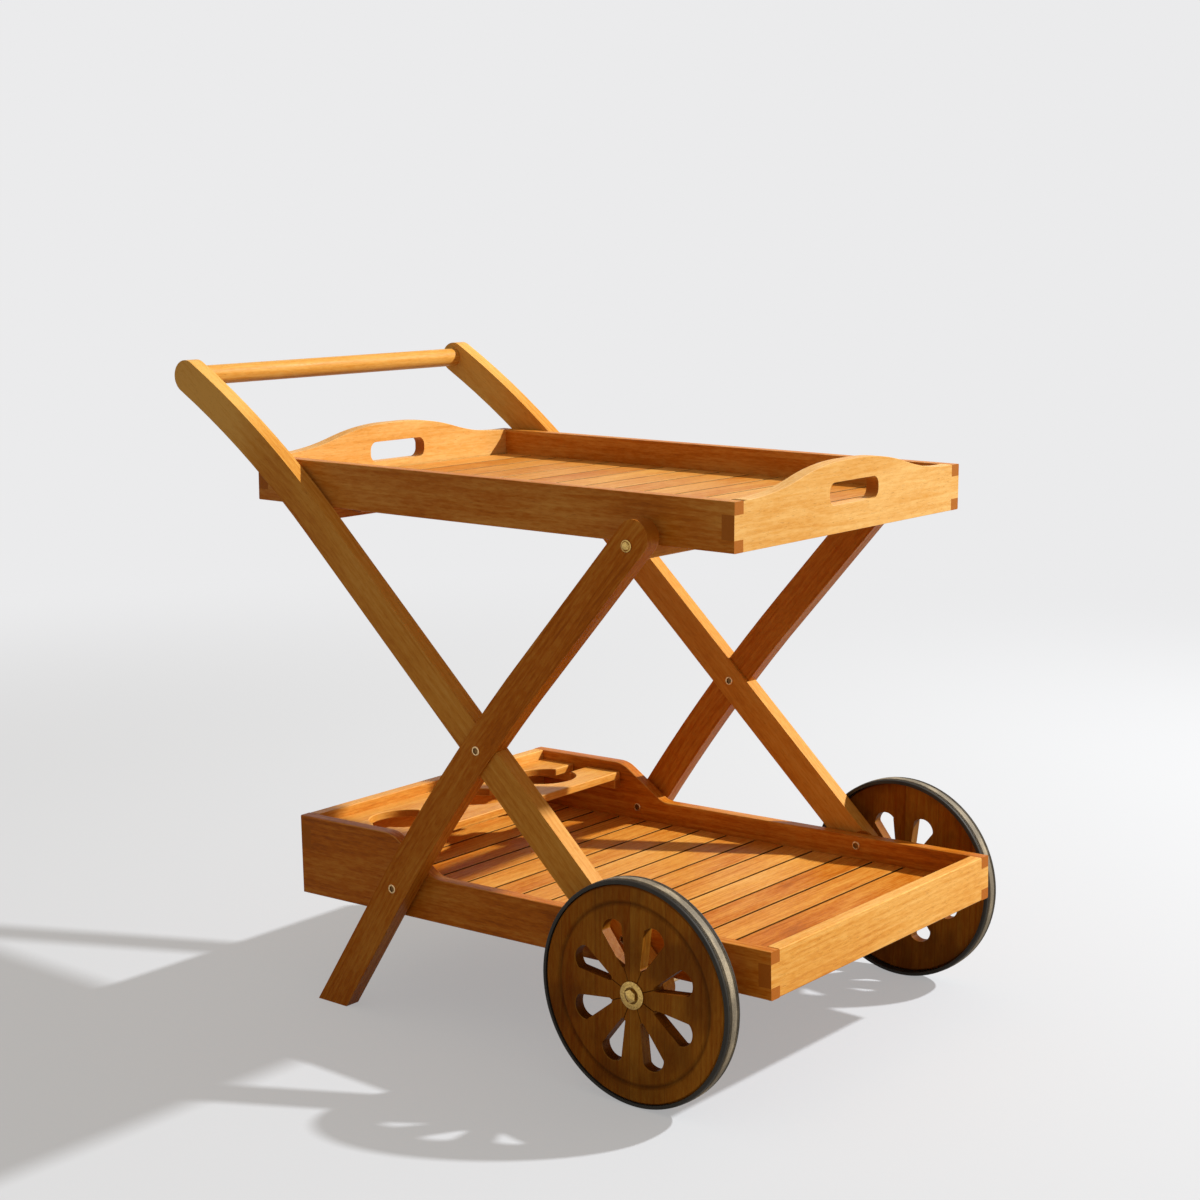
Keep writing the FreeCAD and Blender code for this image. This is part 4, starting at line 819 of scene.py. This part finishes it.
def tyre_tree():
    """Turns one section of tyre round the axle."""
    ring = Layout("tyre_ring", Sections="Int", Centre="Vector")
    sections = ring.given["Sections"]
    points = ring.add("GeometryNodePoints", {"Count": sections, "Position": ring.given["Centre"]})
    index = ring.add("GeometryNodeInputIndex").outputs[0]
    angle = ring.calc("MULTIPLY", ring.calc("DIVIDE", index, sections), 2 * math.pi)
    laid = ring.lay(points.outputs[0], ring.given["Geometry"], ring.turn(1, angle))
    values = {"Geometry": ring.whole(laid), "Distance": 2e-5}
    return ring.end(ring.add("GeometryNodeMergeByDistance", values).outputs[0])


def turned(name, rings, steps=36, recess=None):
    """A piece turned about Y from its rings; faces from the ring numbered recess on get painted
    shade.
    """
    bm = bmesh.new()
    grime = bm.faces.layers.float.new("grime")
    loops = []
    for radius, y, *flats in rings:
        if radius == 0:
            loops.append([bm.verts.new((0, y, 0))])
            continue
        loop = []
        for step in range(steps):
            angle = 2 * math.pi * step / steps
            reach = radius
            if flats:
                reach /= math.cos((angle + math.pi / 6) % (math.pi / 3) - math.pi / 6)
            loop.append(bm.verts.new((reach * math.cos(angle), y, reach * math.sin(angle))))
        loops.append(loop)
    for number, (inner, outer) in enumerate(zip(loops, loops[1:])):
        for step in range(steps):
            after = (step + 1) % steps
            corners = [inner[step % len(inner)], inner[after % len(inner)]]
            corners += [outer[after % len(outer)], outer[step % len(outer)]]
            face = bm.faces.new(list(dict.fromkeys(corners)))
            face[grime] = 1.0 if recess is not None and number >= recess else 0.0
    bmesh.ops.recalc_face_normals(bm, faces=bm.faces)
    obj = to_object(bm, name)
    shade(obj, angle=32)
    return obj


def depth_of(node):
    """Length across the cart of a node's solids, which are alike."""
    low, high = boxes(node)[0]
    return high.y - low.y


def set_hardware(name, slot, node, piece, sunk=0.0, inner=False):
    """Puts a turned piece on the outer or inner end of each solid of a node, as one object.

    The piece's own y = 0 lies sunk below that end, and its -Y faces away from the solid.
    """
    spots = []
    for low, high in boxes(node):
        centre = (low + high) / 2
        outward = -1 if centre.y < 0 else 1
        facing = -outward if inner else outward
        end = high.y if facing > 0 else low.y
        spots.append(((centre.x, end - facing * sunk, centre.z), facing))
    mesh = bpy.data.meshes.new(name)
    mesh.from_pydata([spot for spot, _ in spots], [], [])
    turns = mesh.attributes.new("facing", "FLOAT", "POINT")
    for entry, (_, facing) in zip(turns.data, spots):
        entry.value = 0.0 if facing < 0 else 1.0
    obj = in_scene(name, mesh)
    tree = bpy.data.node_groups.get("hardware_row") or hardware_tree()
    run_tree(obj, tree, Piece=piece, Finish=finishes()[slot])
    bpy.data.objects.remove(piece)
    hand_over(obj, slot, "frame", node)


def bolt_rings(run, thread):
    """Rings of a low socket-head bolt whose seat is at y = 0 and whose head faces -Y."""
    reach = run - BOLT_TALL
    shank = [(0, reach), (thread - 0.0006, reach), (thread, reach - 0.0006), (thread, 0)]
    head = [
        (BOLT_HEAD, 0),
        (BOLT_HEAD, 0.0005 - BOLT_TALL),
        (BOLT_HEAD - 0.0002, 0.0002 - BOLT_TALL),
        (BOLT_HEAD - 0.0006, -BOLT_TALL),
    ]
    socket = [
        (BOLT_SOCKET + 0.0012, -BOLT_TALL),
        (BOLT_SOCKET + 0.0003, -BOLT_TALL, HEX),
        (BOLT_SOCKET, 0.0003 - BOLT_TALL, HEX),
        (BOLT_SOCKET, -0.0002, HEX),
        (0, -0.0001),
    ]
    return shank + head + socket


class CART_OT_legs(bpy.types.Operator):
    """Crossed legs with eased edges and grain that follows their bends"""

    bl_idname = "cart.legs"
    bl_label = "Crossed Legs"

    def execute(self, context):
        radius = context.scene.cart_wood.leg_round
        for side, _ in SIDES:
            for kind, path in (("handle_leg", handle_path()), ("foot_leg", foot_path())):
                node = "%s_%s" % (side, kind)
                measure = bent(path, middle(node).y)
                skip = near_centre_line(measure)
                dress_board(node, "frame_wood", "frame", radius, measure, skip, TONES[kind])
        return {"FINISHED"}


class CART_OT_rails(bpy.types.Operator):
    """Push bar, cross rails and the wooden spacers at the shelf"""

    bl_idname = "cart.rails"
    bl_label = "Bar and Rails"

    def execute(self, context):
        radius = context.scene.cart_wood.board_round
        for node in ("handle_bar", "front_cross_rail", "rear_cross_rail", "shelf_spacers"):
            measure = straight(middle(node), ALONG_Y, ALONG_Z)
            skip = beyond(LEG_FACE)
            dress_board(node, "frame_wood", "frame", radius, measure, skip, TONES[node])
        return {"FINISHED"}


class CART_OT_tray(bpy.types.Operator):
    """Box-jointed tray boards with crested ends, hand slots and battens"""

    bl_idname = "cart.tray"
    bl_label = "Tray Boards"

    def execute(self, context):
        radius = context.scene.cart_wood.board_round
        low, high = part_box("tray_right_side")
        skip = at_corners(low.x + TRAY_CORNER, high.x - TRAY_CORNER)
        for side, _ in SIDES:
            node = "tray_%s_side" % side
            measure = straight(middle(node), ALONG_X, ALONG_Y)
            dress_board(node, "tray_wood", "tray", radius, measure, skip, TONES["tray_side"])
        skip = beyond(TRAY_JOINT)
        for end in ("front", "rear"):
            node = "tray_%s_end" % end
            measure = straight(middle(node), ALONG_Y, ALONG_X)
            dress_board(node, "tray_wood", "tray", radius, measure, skip, TONES["tray_end"])
        for node, along in (("tray_battens", ALONG_X), ("tray_stops", ALONG_Y)):
            measure = straight(middle(node), along, ALONG_Z)
            dress_board(node, "tray_wood", "tray", radius, measure)
        return {"FINISHED"}


class CART_OT_shelf(bpy.types.Operator):
    """Stepped shelf sides, shelf ends, battens and the bottle rack"""

    bl_idname = "cart.shelf"
    bl_label = "Shelf and Rack"

    def execute(self, context):
        radius = context.scene.cart_wood.board_round
        along = shelf_slope()
        up = Vector((-along.z, 0, along.x))
        low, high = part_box("shelf_right_side")
        skip = at_corners(low.x + SHELF_REAR_CORNER, high.x - SHELF_FRONT_CORNER)
        for side, _ in SIDES:
            node = "shelf_%s_side" % side
            measure = straight(middle(node), along, ALONG_Y)
            dress_board(node, "shelf_wood", "frame", radius, measure, skip, TONES["shelf_side"])
        skip = beyond(SHELF_JOINT)
        for end in ("front", "rear"):
            node = "shelf_%s_end" % end
            measure = straight(middle(node), ALONG_Y, along)
            dress_board(node, "shelf_wood", "frame", radius, measure, skip, TONES["shelf_end"])
        planks = [("bottle_rack_front_plank", ALONG_Y), ("bottle_rack_rear_plank", ALONG_Y)]
        for node, grain in planks + [("shelf_battens", along), ("rack_cleats", along)]:
            dress_board(node, "shelf_wood", "frame", radius, straight(middle(node), grain, up))
        return {"FINISHED"}


class CART_OT_slats(bpy.types.Operator):
    """Floor slats of the tray and the shelf, laid in rows from one blank each"""

    bl_idname = "cart.slats"
    bl_label = "Floor Slats"

    def execute(self, context):
        wood = context.scene.cart_wood
        tree = slat_tree()
        tray = boxes("tray_slats")
        shelf = [box for node in SHELF_SLATS for box in boxes(node)]
        slope = shelf_slope()
        tilt = math.atan2(slope.z, slope.x)
        rows = (
            ("tray_floor", "tray_wood", "tray", tray, 0.0, ["tray_slats"], TRAY_SEED),
            ("shelf_floor", "shelf_wood", "frame", shelf, tilt, SHELF_SLATS, SHELF_SEED),
        )
        for name, slot, body, row, lean, nodes, seed in rows:
            centres = [(low + high) / 2 for low, high in row]
            width, run, tall = row[0][1] - row[0][0]
            if lean:
                # A sloping slat fills a larger box, so its own sizes are worked back from it.
                cos, sin = math.cos(lean), math.sin(lean)
                width, tall = Matrix(((cos, sin), (sin, cos))).inverted() @ Vector((width, tall))
            bm = bmesh.new()
            bmesh.ops.create_cube(bm, size=1.0, matrix=Matrix.Diagonal((width, run, tall, 1)))
            ease(bm, wood.slat_round)
            # The slat sides get painted shade, for the dark gaps of the floor.
            draw_grain(bm, name, straight((0, 0, 0), ALONG_Y, ALONG_Z), slat_gap_shade)
            bm.verts.layers.float_vector.remove(bm.verts.layers.float_vector["board"])
            obj = smooth(to_object(bm, name))
            step = (centres[-1] - centres[0]) / (len(centres) - 1)
            line = {"Count": len(row), "Start": tuple(centres[0]), "Step": tuple(step)}
            run_tree(obj, tree, Slope=-lean, Seed=seed, Finish=finishes()[slot], **line)
            hand_over(obj, slot, body, *nodes)
        return {"FINISHED"}


class CART_OT_wheels(bpy.types.Operator):
    """Glued-up wooden discs with petal cut-outs"""

    bl_idname = "cart.wheels"
    bl_label = "Wheel Discs"

    def execute(self, context):
        radius = context.scene.cart_wood.board_round * PETAL_ROUND
        for side, sign in SIDES:
            node = side + "_wheel_disc"
            centre = middle(node)
            measure = straight(centre, ALONG_Z, ALONG_Y)
            # The ring groove gets painted shade.
            skip, soil = not_petals(centre), groove_painted_shade(node, sign)
            dress_board(node, "wheel_wood", side + "_wheel", radius, measure, skip, soil=soil)
        return {"FINISHED"}


class CART_OT_tyres(bpy.types.Operator):
    """Ribbed rubber tyres, turned from one section"""

    bl_idname = "cart.tyres"
    bl_label = "Tyres"

    def execute(self, context):
        sections = context.scene.cart_metal.turns
        tree = tyre_tree()
        finish = finishes()["tyre_rubber"]
        for side, _ in SIDES:
            node = side + "_tyre"
            obj = to_object(self.section(node, sections), node + "_rubber")
            run_tree(obj, tree, Sections=sections, Centre=tuple(middle(node)), Finish=finish)
            bm = bmesh.new()
            bm.from_mesh(obj.data)
            bmesh.ops.recalc_face_normals(bm, faces=bm.faces)
            bm.to_mesh(obj.data)
            bm.free()
            smooth(obj, angle=50)
            hand_over(obj, "tyre_rubber", side + "_wheel", node)
        return {"FINISHED"}

    def section(self, node, sections):
        """One short stretch of tyre about the axle, dusty on the tread and paler on its +Y shoulder
        as painted light.
        """
        low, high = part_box(node)
        outer = (high.z - low.z) / 2
        half = (high.y - low.y) / 2
        run = [(outer - deep, y, dust_and_sheen) for deep, y, dust_and_sheen in TYRE_SECTION]
        # The +Y shoulder is painted paler, as painted light from the key's side.
        profile = run + [(r, -y, max(dust_and_sheen, 0.7 + 0.7 * y)) for r, y, dust_and_sheen in reversed(run[:-1])]
        bm = bmesh.new()
        tread = bm.verts.layers.float.new("tread")
        loops = []
        for turn in (0.0, 2 * math.pi / sections):
            loop = []
            for r, y, dust_and_sheen in profile:
                vert = bm.verts.new((r * math.sin(turn), y * half, r * math.cos(turn)))
                vert[tread] = dust_and_sheen
                loop.append(vert)
            loops.append(loop)
        first, second = loops
        for index in range(len(profile)):
            after = (index + 1) % len(profile)
            bm.faces.new((first[index], first[after], second[after], second[index]))
        return bm


class CART_OT_hardware(bpy.types.Operator):
    """Bolts, sleeve nuts, hub discs, domed nuts, axle and rings"""

    bl_idname = "cart.hardware"
    bl_label = "Hardware"

    def execute(self, context):
        for node, thread, inner in (
            ("crossing_bolts", BOLT_THREAD, False),
            ("foot_shelf_bolts", BOLT_THREAD, False),
            ("axle_shelf_bolts", BOLT_THREAD, False),
            ("sleeve_nuts", SLEEVE_THREAD, True),
        ):
            rings = bolt_rings(depth_of(node), thread)
            bolt = turned(node + "_piece", rings, recess=SOCKET_RING)
            set_hardware(node + "_plated", "steel", node, bolt, BOLT_TALL, inner)

        reach = depth_of("rail_bolts") - RAIL_BOLT_TALL
        bolt = turned("rail_bolt_piece", [(0, reach), (BOLT_THREAD, reach), *RAIL_BOLT_HEAD])
        set_hardware("rail_bolts_brass", "brass", "rail_bolts", bolt, RAIL_BOLT_TALL)

        deep = depth_of("hub_discs")
        rings = [(HUB_BORE, deep), (HUB_RADIUS, deep), *HUB_FACE, (HUB_BORE, deep)]
        disc = turned("hub_piece", rings, HUB_STEPS, HUB_RECESS)
        set_hardware("hub_discs_brass", "brass", "hub_discs", disc)

        nut = turned("nut_piece", DOMED_NUT)
        set_hardware("domed_nuts_brass", "brass", "domed_nuts", nut, depth_of("domed_nuts"))

        self.axle()

        deep = depth_of("spacer_rings")
        edge = SPACER_RADIUS - SPACER_EASE
        rings = [(HUB_BORE, deep), (edge, deep), (SPACER_RADIUS, deep - SPACER_EASE)]
        rings += [(SPACER_RADIUS, SPACER_EASE), (edge, 0), (HUB_BORE, 0), (HUB_BORE, deep)]
        ring = turned("spacer_piece", rings)
        set_hardware("spacer_rings_steel", "steel", "spacer_rings", ring)

        for side, _ in SIDES:
            NODES[side + "_bush"].material_slots[0].material = finishes()["brass"]
        return {"FINISHED"}

    def axle(self):
        """Plain rod with a thinner threaded end for each nut."""
        half = depth_of("axle") / 2
        rings = [(0, -half), (AXLE_THREAD - 0.0006, -half), (AXLE_THREAD, 0.0006 - half)]
        rings += [(AXLE_THREAD, -AXLE_STEP), (AXLE_RADIUS - 0.0004, -AXLE_STEP)]
        rings += [(AXLE_RADIUS, 0.0004 - AXLE_STEP)]
        rings += [(radius, -y) for radius, y in reversed(rings)]
        rod = turned("axle_steel", rings)
        rod.data.transform(Matrix.Translation(middle("axle")))
        hand_over(rod, "steel", "frame", "axle")


class CART_OT_stage(bpy.types.Operator):
    """Pale floor, soft key light, even fill and the camera"""

    bl_idname = "cart.stage"
    bl_label = "Stage"

    def execute(self, context):
        scene = context.scene
        stage = scene.cart_stage
        scene.view_settings.view_transform = "Standard"
        bm = bmesh.new()
        level = Matrix.Translation((0, 0, FLOOR_LEVEL))
        bmesh.ops.create_circle(
            bm, cap_ends=True, radius=FLOOR_RADIUS, segments=FLOOR_STEPS, matrix=level
        )
        floor = to_object(bm, "floor")
        floor.data.materials.append(self.floor_finish(stage))
        self.light(stage)
        self.sky(scene, stage)
        self.camera(scene, stage)
        return {"FINISHED"}

    def floor_finish(self, stage):
        """Plain floor that keeps the shadow near the cart and fades into the backdrop."""
        finish = Finish("floor_finish")
        place = finish.add("ShaderNodeTexCoord").outputs["Object"]
        reach = finish.add("ShaderNodeVectorMath", {0: place}, operation="LENGTH")
        far = finish.span(reach.outputs["Value"], *FLOOR_FADE)
        seen = finish.shown()
        bounce = opaque(shaded(stage.floor, FLOOR_BOUNCE))
        ground = opaque(shaded(stage.floor, FLOOR_SHOWN))
        matt = finish.add("ShaderNodeBsdfDiffuse", {"Color": finish.mixed(seen, bounce, ground)})
        plain = finish.add("ShaderNodeEmission", {"Color": opaque(stage.floor), "Strength": 1.0})
        share = finish.calc("MULTIPLY", far, seen)
        parts = {0: share, 1: matt.outputs[0], 2: plain.outputs[0]}
        both = finish.add("ShaderNodeMixShader", parts)
        finish.add("ShaderNodeOutputMaterial", {"Surface": both.outputs[0]})
        return finish.material

    def light(self, stage):
        """One soft key behind the cart, to the right as the camera sees it."""
        away = Vector(KEY_AWAY).normalized()
        lamp = bpy.data.lights.new("key", "AREA")
        lamp.shape = "DISK"
        lamp.size = stage.key_size
        lamp.energy = stage.key * (math.pi * KEY_DISTANCE) ** 2
        lamp.color = KEY_COLOUR
        turn = away.to_track_quat("Z", "Y").to_matrix().to_4x4()
        place = Matrix.Translation(Vector(KEY_AIM) + away * KEY_DISTANCE)
        in_scene("key", lamp).matrix_world = place @ turn

    def sky(self, scene, stage):
        """Even warm fill on the cart, and the backdrop's colour for the camera and reflections."""
        scene.world = bpy.data.worlds.new("studio")
        scene.world.use_nodes = True
        sky = Nodes(scene.world.node_tree)
        fill = sky.add("ShaderNodeBackground", {"Color": FILL_COLOUR, "Strength": stage.fill})
        plain = sky.add("ShaderNodeBackground", {"Color": opaque(stage.floor), "Strength": 1.0})
        parts = {0: sky.shown(), 1: fill.outputs[0], 2: plain.outputs[0]}
        both = sky.add("ShaderNodeMixShader", parts)
        sky.add("ShaderNodeOutputWorld", {"Surface": both.outputs[0]})

    def camera(self, scene, stage):
        """Level camera, looking slightly down at the cart's near front corner."""
        yaw, pitch = math.radians(CAMERA_YAW), math.radians(CAMERA_PITCH)
        right = Vector((math.cos(yaw), math.sin(yaw), 0))
        ahead = Vector((-math.sin(yaw), math.cos(yaw), 0)) * math.cos(pitch)
        ahead.z = -math.sin(pitch)
        lens = bpy.data.cameras.new("camera")
        lens.sensor_width = CAMERA_SENSOR
        lens.lens = stage.lens
        turn = Matrix((right, right.cross(ahead), -ahead)).transposed().to_4x4()
        eye = in_scene("camera", lens)
        eye.matrix_world = Matrix.Translation(CAMERA_PLACE) @ turn
        scene.camera = eye


STEPS = (
    CART_OT_stage,
    CART_OT_legs,
    CART_OT_rails,
    CART_OT_tray,
    CART_OT_shelf,
    CART_OT_slats,
    CART_OT_wheels,
    CART_OT_tyres,
    CART_OT_hardware,
)


class CART_PT_panel(bpy.types.Panel):
    """Steps and settings of the serving cart"""

    bl_label = "Serving Cart"
    bl_idname = "CART_PT_panel"
    bl_space_type = "VIEW_3D"
    bl_region_type = "UI"
    bl_category = "Cart"

    def draw(self, context):
        scene = context.scene
        for step in STEPS:
            self.layout.operator(step.bl_idname)
        for group in (scene.cart_wood, scene.cart_metal, scene.cart_stage):
            box = self.layout.box()
            for name in group.bl_rna.properties.keys():
                if name not in ("rna_type", "name"):
                    box.prop(group, name)


CLASSES = (CartWood, CartMetal, CartStage, *STEPS, CART_PT_panel)


def register():
    for entry in CLASSES:
        bpy.utils.register_class(entry)
    bpy.types.Scene.cart_wood = PointerProperty(type=CartWood)
    bpy.types.Scene.cart_metal = PointerProperty(type=CartMetal)
    bpy.types.Scene.cart_stage = PointerProperty(type=CartStage)


def unregister():
    del bpy.types.Scene.cart_stage
    del bpy.types.Scene.cart_metal
    del bpy.types.Scene.cart_wood
    for entry in reversed(CLASSES):
        bpy.utils.unregister_class(entry)


def main():
    register()
    bpy.ops.cart.stage()
    bpy.ops.cart.legs()
    bpy.ops.cart.rails()
    bpy.ops.cart.tray()
    bpy.ops.cart.shelf()
    bpy.ops.cart.slats()
    bpy.ops.cart.wheels()
    bpy.ops.cart.tyres()
    bpy.ops.cart.hardware()


if __name__ == "__main__":
    main()
